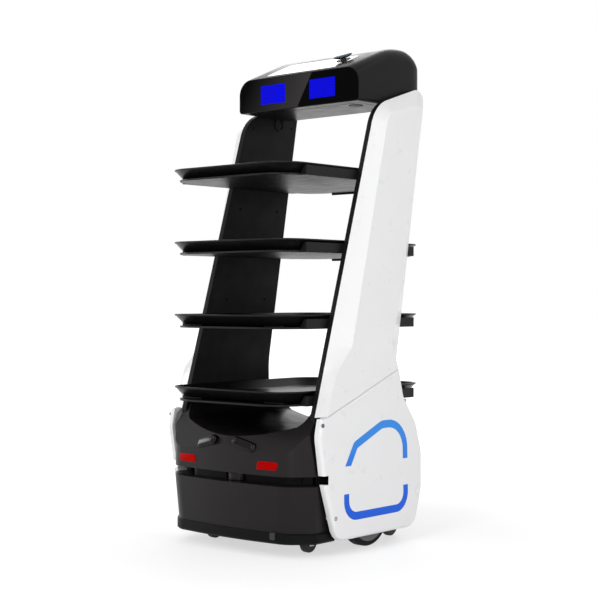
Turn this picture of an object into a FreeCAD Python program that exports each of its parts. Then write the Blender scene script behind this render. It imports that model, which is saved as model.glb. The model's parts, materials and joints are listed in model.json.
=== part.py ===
import FreeCAD, Part
import os
import re
import math
import Sketcher

# Restaurant delivery robot: a wheeled base, two side frames with white covers,
# four trays on shelves between them and a display head on top.
# The robot drives towards -Y, +X is its left hand side, the floor is Z = 0.

V = FreeCAD.Vector
doc = FreeCAD.newDocument("DeliveryRobot")
sheet = doc.addObject("Spreadsheet::Sheet", "Dims")

SIZES = {
    # side frames and the covers on them
    "frame_gap_half": 219.0,      # middle of the robot to a frame's inner face
    "frame_thick": 14.5,
    "body_half": 268.5,           # middle of the robot to a cover's outer face
    "cover_wall": 3.5,
    "frame_toe_y": -170.0,        # feet of the frame, either side of the wheel arch
    "frame_throat_y": -196.0,
    "frame_throat_z": 300.0,
    "arch_front_y": -80.0,
    "arch_rear_y": 126.0,
    "arch_top_z": 195.0,
    "arch_round": 22.0,
    "frame_chin_y": -203.0,       # front edge where it meets the base
    "frame_chin_z": 347.0,
    "frame_brow_y": 38.4,         # front edge produced to the top edge
    "frame_brow_z": 1141.6,
    "frame_brow_round": 97.0,
    "frame_peak_y": 258.5,        # top edge produced to the rear edge
    "frame_peak_z": 1214.0,
    "frame_peak_round": 32.0,
    "frame_waist_y": 125.0,       # rear edge where it turns down into the base
    "frame_waist_z": 460.0,
    "frame_waist_round": 260.0,
    "frame_knee_y": 131.0,
    "frame_knee_z": 240.0,
    "frame_heel_y": 168.0,
    "seam_rise": 0.38,            # slope of the joint between upper and lower cover
    "seam_gap": 1.0,
    "seam_y": -205.0,             # where the joint turns up
    "seam_z": 345.0,
    "seam_drop": 15.0,            # cover made longer than the joint before it is trimmed
    "bevel_start_z": 450.0,       # bevel of the upper cover: its width along Y at each height
    "bevel_start": 10.0,
    "bevel_full_z": 520.0,
    "bevel_full": 52.0,
    "bevel_brow": 12.0,
    "bevel_brow_drop": 24.0,
    "bevel_brow_round": 45.0,
    "bevel_peak": 55.0,
    "bevel_peak_drop": 56.0,
    "bevel_peak_round": 20.0,
    "bevel_rear_z": 640.0,
    "bevel_rear": 57.0,
    "bevel_hip_z": 530.0,
    "bevel_hip": 75.0,
    "bevel_tail": 24.0,
    # lower covers
    "side_inner": 250.0,          # middle of the robot to the lower cover's inner edge
    "side_edge": 9.0,             # rounding of its outer edge
    "side_wall": 3.5,
    "side_chin_y": -214.0,        # its outline, from the front end of the joint downwards
    "side_cheek_y": -224.0,
    "side_cheek_z": 300.0,
    "side_cheek_round": 60.0,
    "side_jaw_y": -205.0,
    "side_jaw_z": 185.0,
    "side_shin_y": -165.0,
    "side_shin_z": 64.0,
    "side_toe_y": -148.0,
    "side_foot_z": 38.0,
    "side_toe_round": 36.0,
    "side_heel_y": 165.0,
    "side_heel_round": 42.0,
    "side_calf_y": 196.0,
    "side_calf_low_z": 140.0,
    "side_calf_high_z": 235.0,
    "side_calf_round": 60.0,
    "side_hip_y": 172.0,
    "side_hip_z": 312.0,
    "side_hip_round": 30.0,
    "side_waist_y": 118.0,
    "side_waist_z": 384.0,
    "side_waist_round": 50.0,
    "side_end_y": 98.0,
    "side_end_z": 459.0,
    "post_r": 7.0,
    "post_front_y": -150.0,
    "post_front_z": 290.0,
    "post_high_y": 60.0,
    "post_high_z": 380.0,
    "post_rear_y": 145.0,
    "post_rear_z": 90.0,
    "notch_z": 183.0,
    "notch_tall": 22.0,
    "notch_end_y": -188.0,
    "strip_wide": 20.0,           # light strips: a rounded loop with two gaps
    "strip_deep": 2.0,
    "strip_front_y": -131.0,
    "strip_rear_y": 134.0,
    "strip_foot_z": 85.0,
    "strip_foot_round": 50.0,
    "strip_cheek_z": 215.0,
    "strip_cheek_round": 25.0,
    "strip_brow_y": -92.0,
    "strip_brow_z": 280.0,
    "strip_brow_round": 24.0,
    "strip_crest_y": 20.0,
    "strip_crest_z": 327.0,
    "strip_crest_round": 60.0,
    "strip_hip_y": 128.0,
    "strip_hip_round": 80.0,
    "strip_gap_low_z": 153.0,
    "strip_gap_high_z": 222.0,
    "post_low_y": -160.0,
    "post_low_z": 97.0,
    # trays and shelves
    "tray_pitch": 190.0,
    "tray_rim_z": 405.0,          # lowest tray's rim
    "tray_half_wide": 214.5,
    "tray_half_long": 292.0,
    "tray_corner": 88.0,
    "tray_side_bow": 8.0,
    "tray_side_round": 900.0,
    "tray_deep": 22.0,
    "tray_lip": 6.0,
    "tray_flare": 23.0,
    "tray_floor": 3.0,
    "tray_rim_wide": 6.0,
    "lip_clear": 0.3,
    "shelf_drop": 26.5,           # tray rim to the shelf plate's top
    "shelf_thick": 5.0,
    "shelf_inset": 5.0,
    "shelf_flange": 6.0,
    "shelf_flange_thick": 2.5,
    "pad_long": 62.0,
    "pad_wide": 26.0,
    "rail_front_y": -216.0,
    "rail_rear_y": 226.0,
    "rail_inner": 196.0,
    "rail_top_inner": 210.5,
    "pad_x": 141.0,
    "pad_y": 238.0,
    "spare_hole_r": 3.0,
    "spare_hole_deep": 10.0,
    "spare_low_z": 637.0,
    "spare_low_front_y": -46.0,
    "spare_low_rear_y": 108.0,
    "spare_high_z": 888.0,
    "spare_high_front_y": 9.0,
    "spare_high_rear_y": 161.0,
    "gland_y": 158.0,
    "gland_z": 1112.0,
    "gland_r": 36.0,
    "gland_tall": 3.0,
    # base
    "nose_y": -285.0,             # front of the base shell produced to the centre line
    "nose_crown": 1200.0,
    "cheek_x": 198.0,
    "cheek_y": -269.0,
    "cheek_round": 70.0,
    "jaw_x": 249.0,
    "jaw_y": -212.0,
    "jaw_round": 19.0,
    "step_y": -203.5,             # where the base narrows to fit between the frames
    "base_wall": 4.0,
    "shell_wall": 12.0,
    "base_rear_y": 190.0,
    "base_clear": 0.5,
    "slot_low_z": 177.5,
    "slot_high_z": 202.0,
    "brow_z": 268.0,              # crease across the base shell's face
    "shell_top_z": 362.0,
    "lean_nose": 42.0,            # how far the face leans back above the crease
    "lean_cheek_x": 12.0,
    "lean_cheek_y": 36.0,
    "lean_jaw_x": 13.0,
    "lean_jaw_round": 12.0,
    "bowl_lip_x": 120.0,          # section of the bowl at the front
    "bowl_lip_z": 295.0,
    "bowl_lip_round": 600.0,
    "bowl_side_x": 205.0,
    "bowl_side_front_z": 314.0,
    "bowl_side_round": 22.0,
    "bowl_edge_x": 224.0,
    "bowl_edge_z": 372.0,
    "bowl_tail_x": 60.0,          # and at the rear
    "bowl_tail_z": 289.0,
    "bowl_tail_round": 250.0,
    "bowl_side_rear_z": 336.0,
    "bowl_floor_thick": 5.0,
    "skirt_low_z": 62.5,
    "skirt_end_y": -112.0,
    "skirt_top_tuck": 2.5,        # how much the skirt draws in below the base shell
    "skirt_nose_tuck": 8.0,       # and at its foot
    "skirt_cheek_tuck": 11.0,
    "skirt_jaw_tuck": 11.0,
    "skirt_ledge": 3.5,
    "bumper_low_z": 35.0,
    "bumper_tall": 27.2,
    "bumper_proud": 5.0,
    "bumper_thick": 13.0,
    "bumper_end_y": -136.0,
    "bumper_edge": 4.0,
    "guide_x": 120.0,             # the two arms the bumper slides on
    "guide_half": 7.0,
    "guide_low_z": 51.0,
    "guide_tall": 8.0,
    "guide_end_y": -192.0,
    "guide_clear": 0.4,
    "bracket_half": 12.0,
    "bracket_front_y": -238.0,
    "bracket_long": 22.0,
    "bracket_low_z": 46.0,
    "deck_z": 66.0,
    "deck_thick": 5.0,
    "deck_nose_y": -258.0,
    "deck_cheek_x": 176.0,
    "deck_cheek_y": -246.0,
    "deck_jaw_y": -200.0,
    "well_inner": 184.0,
    "well_front_y": -66.0,
    "well_rear_y": 118.0,
    "motor_well_half": 36.0,
    "core_inset": 40.0,
    "core_cheek_x": 158.0,
    "core_cheek_y": -229.0,
    "core_side_x": 209.0,
    "core_side_y": -181.0,
    "core_end_y": -120.0,
    "core_flange": 3.0,
    "core_pocket_inner": 48.0,
    "core_pocket_outer": 190.0,
    "core_pocket_front_y": -200.0,
    "core_pocket_rear_y": -128.0,
    "lidar_y": -226.0,
    "lidar_r": 28.0,
    "lidar_bay_r": 36.0,
    "lidar_head_tall": 19.0,
    "lidar_foot_tall": 38.0,
    "lidar_flange_r": 38.0,
    "lidar_flange": 4.0,
    "lidar_pin_r": 5.0,
    "lidar_pin_tall": 12.0,
    "spin_clear": 0.05,
    "turn_clear": 0.4,
    "lamp_inner_x": 108.0,
    "lamp_outer_x": 176.0,
    "lamp_z": 227.0,
    "lamp_tall": 19.0,
    "lamp_proud": 1.2,
    "lamp_deep": 12.0,
    "eye_inner_x": 22.0,          # camera windows in the face
    "eye_top_z": 290.0,
    "eye_outer_x": 106.0,
    "eye_outer_z": 268.0,
    "eye_chin_x": 86.0,
    "eye_chin_z": 256.0,
    "eye_inner_z": 271.0,
    "eye_round": 7.0,
    "eye_deep": 34.0,
    "eye_sink": 5.0,
    "eye_lens_x": 40.0,
    "eye_lens_z": 280.5,
    "eye_lens_r": 7.5,
    "eye_lens_tall": 2.5,
    "piece_clear": 0.3,
    # wheels
    "wheel_r": 84.0,
    "wheel_x": 208.0,
    "wheel_y": 26.0,
    "wheel_wide": 34.0,
    "tyre_thick": 13.0,
    "axle_r": 8.0,
    "axle_clear": 0.05,
    "motor_long": 58.0,
    "motor_r": 33.0,
    "hub_bore_deep": 30.0,
    "hub_dish_r": 52.0,
    "hub_dish_deep": 8.0,
    "tyre_edge": 5.0,
    "motor_gap": 1.0,
    "motor_foot_half": 52.0,
    "motor_foot_long": 24.0,
    "motor_foot_tall": 9.0,
    "caster_r": 25.0,
    "caster_x": 165.0,
    "caster_front_y": -170.0,
    "caster_rear_y": 165.0,
    "caster_trail": 22.0,
    "caster_wide": 20.0,
    "caster_axle_r": 4.0,
    "fork_thick": 3.0,
    "fork_gap": 0.6,
    "fork_z": 54.0,
    "fork_plate_half": 17.0,
    "fork_arm_half": 8.0,
    "stem_r": 7.0,
    "mount_half": 20.0,
    "mount_gap": 0.4,
    # head
    "head_low_z": 1150.0,
    "head_front_y": -2.0,
    "face_half": 213.0,
    "face_top_z": 1242.0,
    "face_deep": 4.0,
    "face_rim": 2.5,
    "head_crest_y": 128.0,
    "head_crest_z": 1297.0,
    "head_wall": 5.0,
    "head_back_y": 180.0,         # sections of the head behind its crest
    "head_back_z": 1298.0,
    "head_turn_y": 208.0,
    "head_turn_z": 1293.0,
    "head_nape_y": 228.0,
    "head_nape_low_z": 1183.0,
    "head_nape_high_z": 1284.0,
    "head_rear_y": 246.0,
    "head_rear_low_z": 1213.0,
    "head_rear_high_z": 1270.0,
    "head_tip_y": 256.0,
    "head_tip_low_z": 1228.0,
    "head_tip_high_z": 1255.0,
    "head_tip_round": 12.0,
    "head_tip_tuck": 8.0,
    "head_round": 42.0,
    "head_nape_round": 36.0,
    "head_rear_round": 26.0,
    "head_foot_round": 10.0,
    "hatch_half": 186.0,
    "hatch_front_y": 34.0,
    "hatch_rear_y": 196.0,
    "hatch_round": 12.0,
    "hatch_thick": 3.5,
    "beam_y": 184.0,
    "beam_z": 1168.0,
    "beam_wide": 36.0,
    "beam_tall": 24.0,
    "beam_wall": 2.5,
    "led_x": 87.5,
    "led_wide": 88.8,
    "led_tall": 51.0,
    "led_z": 1195.0,
    "led_deep": 1.0,
    "top_half": 125.0,            # glossy panel let into the sloping top of the head
    "top_start": 12.0,
    "top_end": 126.0,
    "top_round": 14.0,
    "top_sink": 2.5,
    "top_proud": 0.8,
    "screen_x": -28.0,
    "screen_half": 84.0,
    "screen_half_long": 46.0,
    "screen_deep": 1.0,
    "stop_x": 92.0,
    "stop_along": 92.0,
    "stop_collar_r": 24.0,
    "stop_collar_tall": 7.0,
    "stop_recess": 4.0,
    "stop_clear": 0.5,
    "stop_button_r": 19.0,
    "stop_button_tall": 9.0,
    "stop_stem_r": 7.0,
    "stop_stem_deep": 9.0,
    "stop_travel": 4.0,
    "lens_x": 143.0,
    "lens_y": 71.0,
    "lens_r": 19.0,
    "lens_proud": 1.2,
    # inside the base and on its back
    "battery_half": 85.0,
    "battery_front_y": -52.0,
    "battery_rear_y": 96.0,
    "battery_tall": 92.0,
    "brain_half": 80.0,
    "brain_front_y": -160.0,
    "brain_rear_y": -72.0,
    "brain_tall": 60.0,
    "tie_y": 100.0,
    "tie_z": 236.0,
    "rear_thick": 4.0,
    "rear_return": 20.0,
    "port_half": 48.0,
    "port_z": 118.0,
    "port_half_tall": 22.0,
    "port_proud": 1.5,
    "port_deep": 14.0,
    "contact_half": 30.0,
    "contact_rise": 9.0,
    "contact_half_tall": 3.5,
    "power_x": 90.0,
    "power_z": 182.0,
    "power_r": 9.0,
    "power_clear": 0.4,
    "power_tall": 12.0,
    "power_proud": 3.0,
    "power_travel": 2.0,
}

for line, (alias, value) in enumerate(SIZES.items(), 1):
    sheet.set("A%d" % line, alias)
    sheet.set("B%d" % line, str(value))
    sheet.setAlias("B%d" % line, alias)
doc.recompute()


def linked(text):
    """The expression with each size's name written as a cell of the sheet."""
    return re.sub(r"\b[a-z]\w*_\w+\b", lambda found: "Dims." + found.group(0), str(text))


def value_of(text):
    return float(sheet.evalExpression(linked(text)))


# ---- helpers ---------------------------------------------------------------

def new_body(label, **place):
    """An empty PartDesign body, moved by the expressions given for x, y and z."""
    body = doc.addObject("PartDesign::Body", label)
    body.Label = label
    for axis, text in place.items():
        body.setExpression("Placement.Base." + axis, linked(text))
    return body


plane_of = {}


def new_sketch(body, plane, offset="0"):
    """A sketch on one of the body's own planes, at the given X, Y or Z."""
    sketch = body.newObject("Sketcher::SketchObject", body.Label + "_sketch")
    flat = [item for item in body.Origin.OriginFeatures if item.Role == plane + "_Plane"][0]
    sketch.AttachmentSupport = [(flat, "")]
    sketch.MapMode = "FlatFace"
    sketch.setExpression("AttachmentOffset.Base.z", linked("-(%s)" % offset if plane == "XZ" else offset))
    plane_of[sketch.Name] = plane
    return sketch


def pin_point(sketch, item, end, x_text, y_text):
    for kind, text in (("DistanceX", x_text), ("DistanceY", y_text)):
        index = sketch.addConstraint(Sketcher.Constraint(kind, -1, 1, item, end, value_of(text)))
        sketch.setExpression("Constraints[%d]" % index, linked(text))


def outline(sketch, corners):
    """A closed outline: each corner is x, y and, where it is round, a radius."""
    spots = [V(value_of(corner[0]), value_of(corner[1]), 0) for corner in corners]
    radii = [value_of(corner[2]) if len(corner) > 2 else 0.0 for corner in corners]
    count = len(corners)
    ways = [(spots[(i + 1) % count] - spots[i]).normalize() for i in range(count)]
    turns = [math.atan2(ways[i - 1].cross(ways[i]).z, ways[i - 1].dot(ways[i])) for i in range(count)]
    trims = [radii[i] * abs(math.tan(turns[i] / 2)) for i in range(count)]
    lines = []
    for i in range(count):
        after = (i + 1) % count
        first = spots[i] + ways[i] * trims[i]
        last = spots[after] - ways[i] * trims[after]
        lines.append(sketch.addGeometry(Part.LineSegment(first, last), False))
    for i in range(count):
        before = lines[i - 1]
        if not radii[i]:
            sketch.addConstraint(Sketcher.Constraint("Coincident", before, 2, lines[i], 1))
            pin_point(sketch, lines[i], 1, corners[i][0], corners[i][1])
            continue
        left = turns[i] > 0
        start = spots[i] - ways[i - 1] * trims[i]
        normal = V(-ways[i - 1].y, ways[i - 1].x, 0) * (1 if left else -1)
        middle = start + normal * radii[i]
        end = spots[i] + ways[i] * trims[i]
        first, last = (start, end) if left else (end, start)
        angles = [math.atan2(point.y - middle.y, point.x - middle.x) for point in (first, last)]
        circle = Part.Circle(middle, V(0, 0, 1), radii[i])
        arc = sketch.addGeometry(Part.ArcOfCircle(circle, angles[0], angles[1]), False)
        sketch.addConstraint(Sketcher.Constraint("Tangent", before, 2, arc, 1 if left else 2))
        sketch.addConstraint(Sketcher.Constraint("Tangent", lines[i], 1, arc, 2 if left else 1))
        radius = sketch.addConstraint(Sketcher.Constraint("Radius", arc, radii[i]))
        sketch.setExpression("Constraints[%d]" % radius, linked(corners[i][2]))
        corner = sketch.addGeometry(Part.Point(spots[i]), True)
        pin_point(sketch, corner, 1, corners[i][0], corners[i][1])
        sketch.addConstraint(Sketcher.Constraint("PointOnObject", corner, 1, before))
        sketch.addConstraint(Sketcher.Constraint("PointOnObject", corner, 1, lines[i]))


def circle(sketch, x_text, y_text, radius_text):
    middle = V(value_of(x_text), value_of(y_text), 0)
    item = sketch.addGeometry(Part.Circle(middle, V(0, 0, 1), value_of(radius_text)), False)
    pin_point(sketch, item, 3, x_text, y_text)
    index = sketch.addConstraint(Sketcher.Constraint("Radius", item, value_of(radius_text)))
    sketch.setExpression("Constraints[%d]" % index, linked(radius_text))


def mirrored(corners):
    """The corners given for +X, followed by the same corners mirrored to -X."""
    other = [("-(%s)" % corner[0],) + tuple(corner[1:]) for corner in reversed(corners)]
    return list(corners) + [corner for corner in other if abs(value_of(corner[0])) > 1e-6]


def extrude(body, kind, sketch, length, backwards=False, middle=False):
    """Pad or pocket towards +X, +Y or +Z, or backwards."""
    before = body.Shape.Volume if body.Shape and not body.Shape.isNull() else 0.0
    feature = body.newObject("PartDesign::" + kind, body.Label + "_" + kind.lower())
    feature.Profile = sketch
    feature.Reversed = backwards ^ (plane_of[sketch.Name] == "XZ") ^ (kind == "Pocket")
    if middle:
        feature.SideType = "Symmetric"
    feature.setExpression("Length", linked(length))
    doc.recompute()
    check_step(body, feature, before, kind == "Pocket")
    return feature


def loft(body, kind, sketches, ruled=True):
    before = body.Shape.Volume if body.Shape and not body.Shape.isNull() else 0.0
    feature = body.newObject("PartDesign::" + kind, body.Label + "_" + kind.lower())
    feature.Profile = sketches[0]
    feature.Sections = sketches[1:]
    feature.Ruled = ruled
    doc.recompute()
    check_step(body, feature, before, kind == "SubtractiveLoft")
    return feature


def turn(body, kind, sketch, axis="V_Axis"):
    before = body.Shape.Volume if body.Shape and not body.Shape.isNull() else 0.0
    feature = body.newObject("PartDesign::" + kind, body.Label + "_" + kind.lower())
    feature.Profile = sketch
    feature.ReferenceAxis = (sketch, [axis])
    feature.Angle = 360
    doc.recompute()
    check_step(body, feature, before, kind == "Groove")
    return feature


def check_step(body, feature, before, cuts):
    """A step must add or take away material."""
    if "Invalid" in feature.State or "Error" in feature.State or feature.Shape.isNull():
        raise RuntimeError("%s: %s failed" % (body.Label, feature.Name))
    gained = body.Shape.Volume - before
    if (gained > -1e-6) if cuts else (gained < 1e-6):
        raise RuntimeError("%s: %s changed the volume by %.3f" % (body.Label, feature.Name, gained))


def soften(body, base, radius, wanted, kind="Fillet"):
    """Fillet or chamfer the edges of the last feature for which wanted(edge) holds."""
    names = ["Edge%d" % (i + 1) for i, edge in enumerate(base.Shape.Edges) if wanted(edge)]
    if not names:
        raise RuntimeError(body.Label + ": no edge to soften")
    feature = body.newObject("PartDesign::" + kind, body.Label + "_" + kind.lower())
    feature.Base = (base, names)
    feature.setExpression("Radius" if kind == "Fillet" else "Size", linked(radius))
    doc.recompute()
    if "Invalid" in feature.State or "Error" in feature.State or not feature.Shape.isValid():
        raise RuntimeError(body.Label + ": the edges could not be softened")
    return feature


def flat_at(edge, axis, place, slack=0.01):
    """Whether the whole edge lies at one place along X, Y or Z."""
    box = edge.BoundBox
    low, high = {"X": (box.XMin, box.XMax), "Y": (box.YMin, box.YMax), "Z": (box.ZMin, box.ZMax)}[axis]
    return abs(low - place) < slack and abs(high - place) < slack


def slab(label, plane, offset, corners, length, backwards=False, middle=False, **place):
    """The commonest piece: one outline, padded."""
    body = new_body(label, **place)
    sketch = new_sketch(body, plane, offset)
    outline(sketch, corners)
    extrude(body, "Pad", sketch, length, backwards, middle)
    return body


def cut(body, plane, offset, corners, length, backwards=False, middle=False):
    sketch = new_sketch(body, plane, offset)
    outline(sketch, corners)
    return extrude(body, "Pocket", sketch, length, backwards, middle)


def drill(body, plane, offset, spots, radius, length, backwards=False, middle=False):
    sketch = new_sketch(body, plane, offset)
    for x_text, y_text in spots:
        circle(sketch, x_text, y_text, radius)
    return extrude(body, "Pocket", sketch, length, backwards, middle)


def boss(body, plane, offset, spots, radius, length, backwards=False, middle=False):
    sketch = new_sketch(body, plane, offset)
    for x_text, y_text in spots:
        circle(sketch, x_text, y_text, radius)
    return extrude(body, "Pad", sketch, length, backwards, middle)


def box_corners(x_low, x_high, y_low, y_high, radius=None):
    corners = [(x_low, y_low), (x_high, y_low), (x_high, y_high), (x_low, y_high)]
    return [corner + (radius,) for corner in corners] if radius else corners


def group(label, solids):
    """Several separate solids that are one node, such as the screws of a kind."""
    compound = doc.addObject("Part::Compound", label)
    compound.Label = label
    compound.Links = solids
    return compound


SIDES = (("left", "1"), ("right", "-1"))


def inset(corners, amount):
    """The outline drawn in by an amount, with its radii changed to suit."""
    spots = [V(value_of(corner[0]), value_of(corner[1]), 0) for corner in corners]
    count = len(spots)
    area = sum(spots[i - 1].x * spots[i].y - spots[i].x * spots[i - 1].y for i in range(count))
    sign = 1 if area > 0 else -1
    ways = [(spots[(i + 1) % count] - spots[i]).normalize() for i in range(count)]
    result = []
    for i, corner in enumerate(corners):
        normals = [V(-way.y, way.x, 0) * sign for way in (ways[i - 1], ways[i])]
        shift = (normals[0] + normals[1]) / (1 + normals[0].dot(normals[1]))
        moved = ["(%s)%+.6f*(%s)" % (corner[axis], part, amount) for axis, part in enumerate((shift.x, shift.y))]
        if len(corner) > 2:
            outward = sign * ways[i - 1].cross(ways[i]).z > 0
            moved.append("%s%s(%s)" % (corner[2], "-" if outward else "+", amount))
        result.append(tuple(moved))
    return result


def ring(body, plane, offset, x_text, y_text, outer, inner, length, backwards=False):
    """A tube, padded."""
    sketch = new_sketch(body, plane, offset)
    circle(sketch, x_text, y_text, outer)
    circle(sketch, x_text, y_text, inner)
    return extrude(body, "Pad", sketch, length, backwards)


def add(body, plane, offset, corners, length, backwards=False, middle=False):
    sketch = new_sketch(body, plane, offset)
    outline(sketch, corners)
    return extrude(body, "Pad", sketch, length, backwards, middle)


def section(body, plane, offset, corners):
    sketch = new_sketch(body, plane, offset)
    outline(sketch, corners)
    return sketch


# ---- side frames -----------------------------------------------------------

def front_y(z):
    """The front edge of a frame at the height z."""
    slope = "(frame_brow_y-frame_chin_y)/(frame_brow_z-frame_chin_z)"
    return "frame_chin_y+%s*(%s-frame_chin_z)" % (slope, z)


def rear_y(z):
    slope = "(frame_peak_y-frame_waist_y)/(frame_peak_z-frame_waist_z)"
    return "frame_waist_y+%s*(%s-frame_waist_z)" % (slope, z)


def shelf_rim(level):
    return "(tray_rim_z+%d*tray_pitch)" % level


LEVELS = range(4)
frame_outer = "(frame_gap_half+frame_thick)"
frame_corners = [
    ("frame_toe_y", "deck_z"),
    ("frame_throat_y", "frame_throat_z"),
    ("frame_chin_y", "frame_chin_z"),
    ("frame_brow_y", "frame_brow_z", "frame_brow_round"),
    ("frame_peak_y", "frame_peak_z", "frame_peak_round"),
    ("frame_waist_y", "frame_waist_z", "frame_waist_round"),
    ("frame_knee_y", "frame_knee_z"),
    ("frame_heel_y", "deck_z"),
]
arch_corners = [
    ("arch_front_y", "0"),
    ("arch_rear_y", "0"),
    ("arch_rear_y", "arch_top_z", "arch_round"),
    ("arch_front_y", "arch_top_z", "arch_round"),
]
spare_spots = [
    ("spare_low_front_y", "spare_low_z"),
    ("spare_low_rear_y", "spare_low_z"),
    ("spare_high_front_y", "spare_high_z"),
    ("spare_high_rear_y", "spare_high_z"),
]
nodes = []


def at_side(sign, text):
    return "%s*(%s)" % (sign, text)


for name, sign in SIDES:
    inward = sign == "-1"
    frame = slab("side_frame_" + name, "YZ", at_side(sign, "frame_gap_half"), frame_corners,
                 "frame_thick", inward)
    cut(frame, "YZ", at_side(sign, "frame_gap_half"), arch_corners, "frame_thick", inward)
    drill(frame, "YZ", at_side(sign, "frame_gap_half"), spare_spots, "spare_hole_r",
          "spare_hole_deep", inward)
    boss(frame, "YZ", at_side(sign, "frame_gap_half"), [("gland_y", "gland_z")], "gland_r",
         "gland_tall", not inward)
    nodes.append(frame)

# ---- covers ----------------------------------------------------------------

seam_low = "seam_z-seam_drop"
cover_base = [
    (front_y(seam_low), seam_low),
    (front_y("bevel_start_z"), "bevel_start_z"),
    (front_y("bevel_full_z"), "bevel_full_z"),
    ("frame_brow_y", "frame_brow_z", "frame_brow_round"),
    ("frame_peak_y", "frame_peak_z", "frame_peak_round"),
    (rear_y("bevel_rear_z"), "bevel_rear_z"),
    (rear_y("bevel_hip_z"), "bevel_hip_z"),
    (rear_y("side_end_z-seam_drop"), "side_end_z-seam_drop"),
]
cover_cap = [
    (front_y(seam_low) + "+bevel_start/2", seam_low),
    (front_y("bevel_start_z") + "+bevel_start", "bevel_start_z"),
    (front_y("bevel_full_z") + "+bevel_full", "bevel_full_z"),
    ("frame_brow_y+bevel_brow", "frame_brow_z-bevel_brow_drop", "bevel_brow_round"),
    ("frame_peak_y-bevel_peak", "frame_peak_z-bevel_peak_drop", "bevel_peak_round"),
    (rear_y("bevel_rear_z") + "-bevel_rear", "bevel_rear_z"),
    (rear_y("bevel_hip_z") + "-bevel_hip", "bevel_hip_z"),
    (rear_y("side_end_z-seam_drop") + "-bevel_tail", "side_end_z-seam_drop"),
]
below_seam = [
    ("seam_y-seam_drop", "seam_z-2*seam_drop"),
    ("seam_y-seam_drop", "seam_z+seam_gap/2"),
    ("seam_y", "seam_z+seam_gap/2"),
    ("side_end_y", "side_end_z+seam_gap/2"),
    ("frame_peak_y", "side_end_z+seam_gap/2"),
    ("frame_peak_y", "seam_z-2*seam_drop"),
]
side_corners = [
    ("side_chin_y", "seam_z-seam_gap/2"),
    ("side_cheek_y", "side_cheek_z", "side_cheek_round"),
    ("side_jaw_y", "side_jaw_z"),
    ("side_shin_y", "side_shin_z"),
    ("side_toe_y", "side_foot_z", "side_toe_round"),
    ("side_heel_y", "side_foot_z+1", "side_heel_round"),
    ("side_calf_y", "side_calf_low_z", "side_calf_round"),
    ("side_calf_y", "side_calf_high_z", "side_calf_round"),
    ("side_hip_y", "side_hip_z", "side_hip_round"),
    ("side_waist_y", "side_waist_z", "side_waist_round"),
    ("side_end_y", "side_end_z-seam_gap/2"),
    ("seam_y", "seam_z-seam_gap/2"),
]
strip_loop = [
    ("strip_front_y", "strip_foot_z", "strip_foot_round"),
    ("strip_rear_y", "strip_foot_z", "strip_foot_round"),
    ("strip_hip_y", "strip_crest_z", "strip_hip_round"),
    ("strip_crest_y", "strip_crest_z", "strip_crest_round"),
    ("strip_brow_y", "strip_brow_z", "strip_brow_round"),
    ("strip_front_y", "strip_cheek_z", "strip_cheek_round"),
]
posts = [
    ("post_low_y", "post_low_z"),
    ("post_front_y", "post_front_z"),
    ("post_high_y", "post_high_z"),
    ("post_rear_y", "post_rear_z"),
]
notch_corners = [
    ("side_cheek_y-notch_tall", "notch_z"),
    ("notch_end_y", "notch_z"),
    ("notch_end_y", "notch_z+notch_tall"),
    ("side_cheek_y-notch_tall", "notch_z+notch_tall"),
]
for name, sign in SIDES:
    inward = sign == "-1"
    cover = new_body("outer_cover_" + name)
    loft(cover, "AdditiveLoft", [section(cover, "YZ", at_side(sign, frame_outer), cover_base),
                                 section(cover, "YZ", at_side(sign, "body_half"), cover_cap)])
    hollow = [inset(corners, "cover_wall") for corners in (cover_base, cover_cap)]
    for corners in hollow:
        corners[0] = (corners[0][0], seam_low + "-cover_wall")
        corners[-1] = (corners[-1][0], "side_end_z-seam_drop-cover_wall")
    loft(cover, "SubtractiveLoft",
         [section(cover, "YZ", at_side(sign, frame_outer), hollow[0]),
          section(cover, "YZ", at_side(sign, "body_half-cover_wall"), hollow[1])])
    cut(cover, "YZ", at_side(sign, "frame_gap_half"), below_seam, "body_half-frame_gap_half", inward)
    nodes.append(cover)

    strips = []
    for part, low, high in (("upper", "strip_foot_z", "strip_gap_high_z"),
                            ("lower", "strip_gap_low_z", "strip_crest_z")):
        strip = new_body("strip_%s_%s" % (part, name))
        sketch = new_sketch(strip, "YZ", at_side(sign, "body_half-strip_deep"))
        outline(sketch, strip_loop)
        outline(sketch, inset(strip_loop, "strip_wide"))
        extrude(strip, "Pad", sketch, "strip_deep", inward)
        cut(strip, "YZ", at_side(sign, "body_half-strip_deep"),
            box_corners("strip_front_y-strip_wide", "strip_rear_y+strip_wide",
                        low + ("-strip_wide" if part == "upper" else ""),
                        high + ("+strip_wide" if part == "lower" else "")), "strip_deep", inward)
        strips.append(strip)
    strips = group("light_strips_" + name, strips)
    nodes.append(strips)

    side = slab("side_blank_" + name, "YZ", at_side(sign, "side_inner"), side_corners,
                "body_half-side_inner", inward)
    outer_face = value_of(at_side(sign, "body_half"))
    soften(side, side.Tip, "side_edge", lambda edge: flat_at(edge, "X", outer_face))
    cut(side, "YZ", at_side(sign, "side_inner"), inset(side_corners, "side_edge"),
        "body_half-side_inner-side_wall", inward)
    cut(side, "YZ", at_side(sign, "side_inner"), notch_corners, "body_half-side_inner", inward)
    boss(side, "YZ", at_side(sign, frame_outer), posts, "post_r",
         "body_half-side_wall-%s" % frame_outer, inward)
    lower = doc.addObject("Part::Cut", "lower_cover_" + name)
    lower.Label = "lower_cover_" + name
    lower.Base = side
    lower.Tool = strips
    nodes.append(lower)

# ---- shelves and trays -----------------------------------------------------

def tray_outline():
    half = [
        ("tray_half_wide-tray_side_bow", "-(tray_half_long)", "tray_corner"),
        ("tray_half_wide", "0", "tray_side_round"),
        ("tray_half_wide-tray_side_bow", "tray_half_long", "tray_corner"),
    ]
    return mirrored(half)


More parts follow.
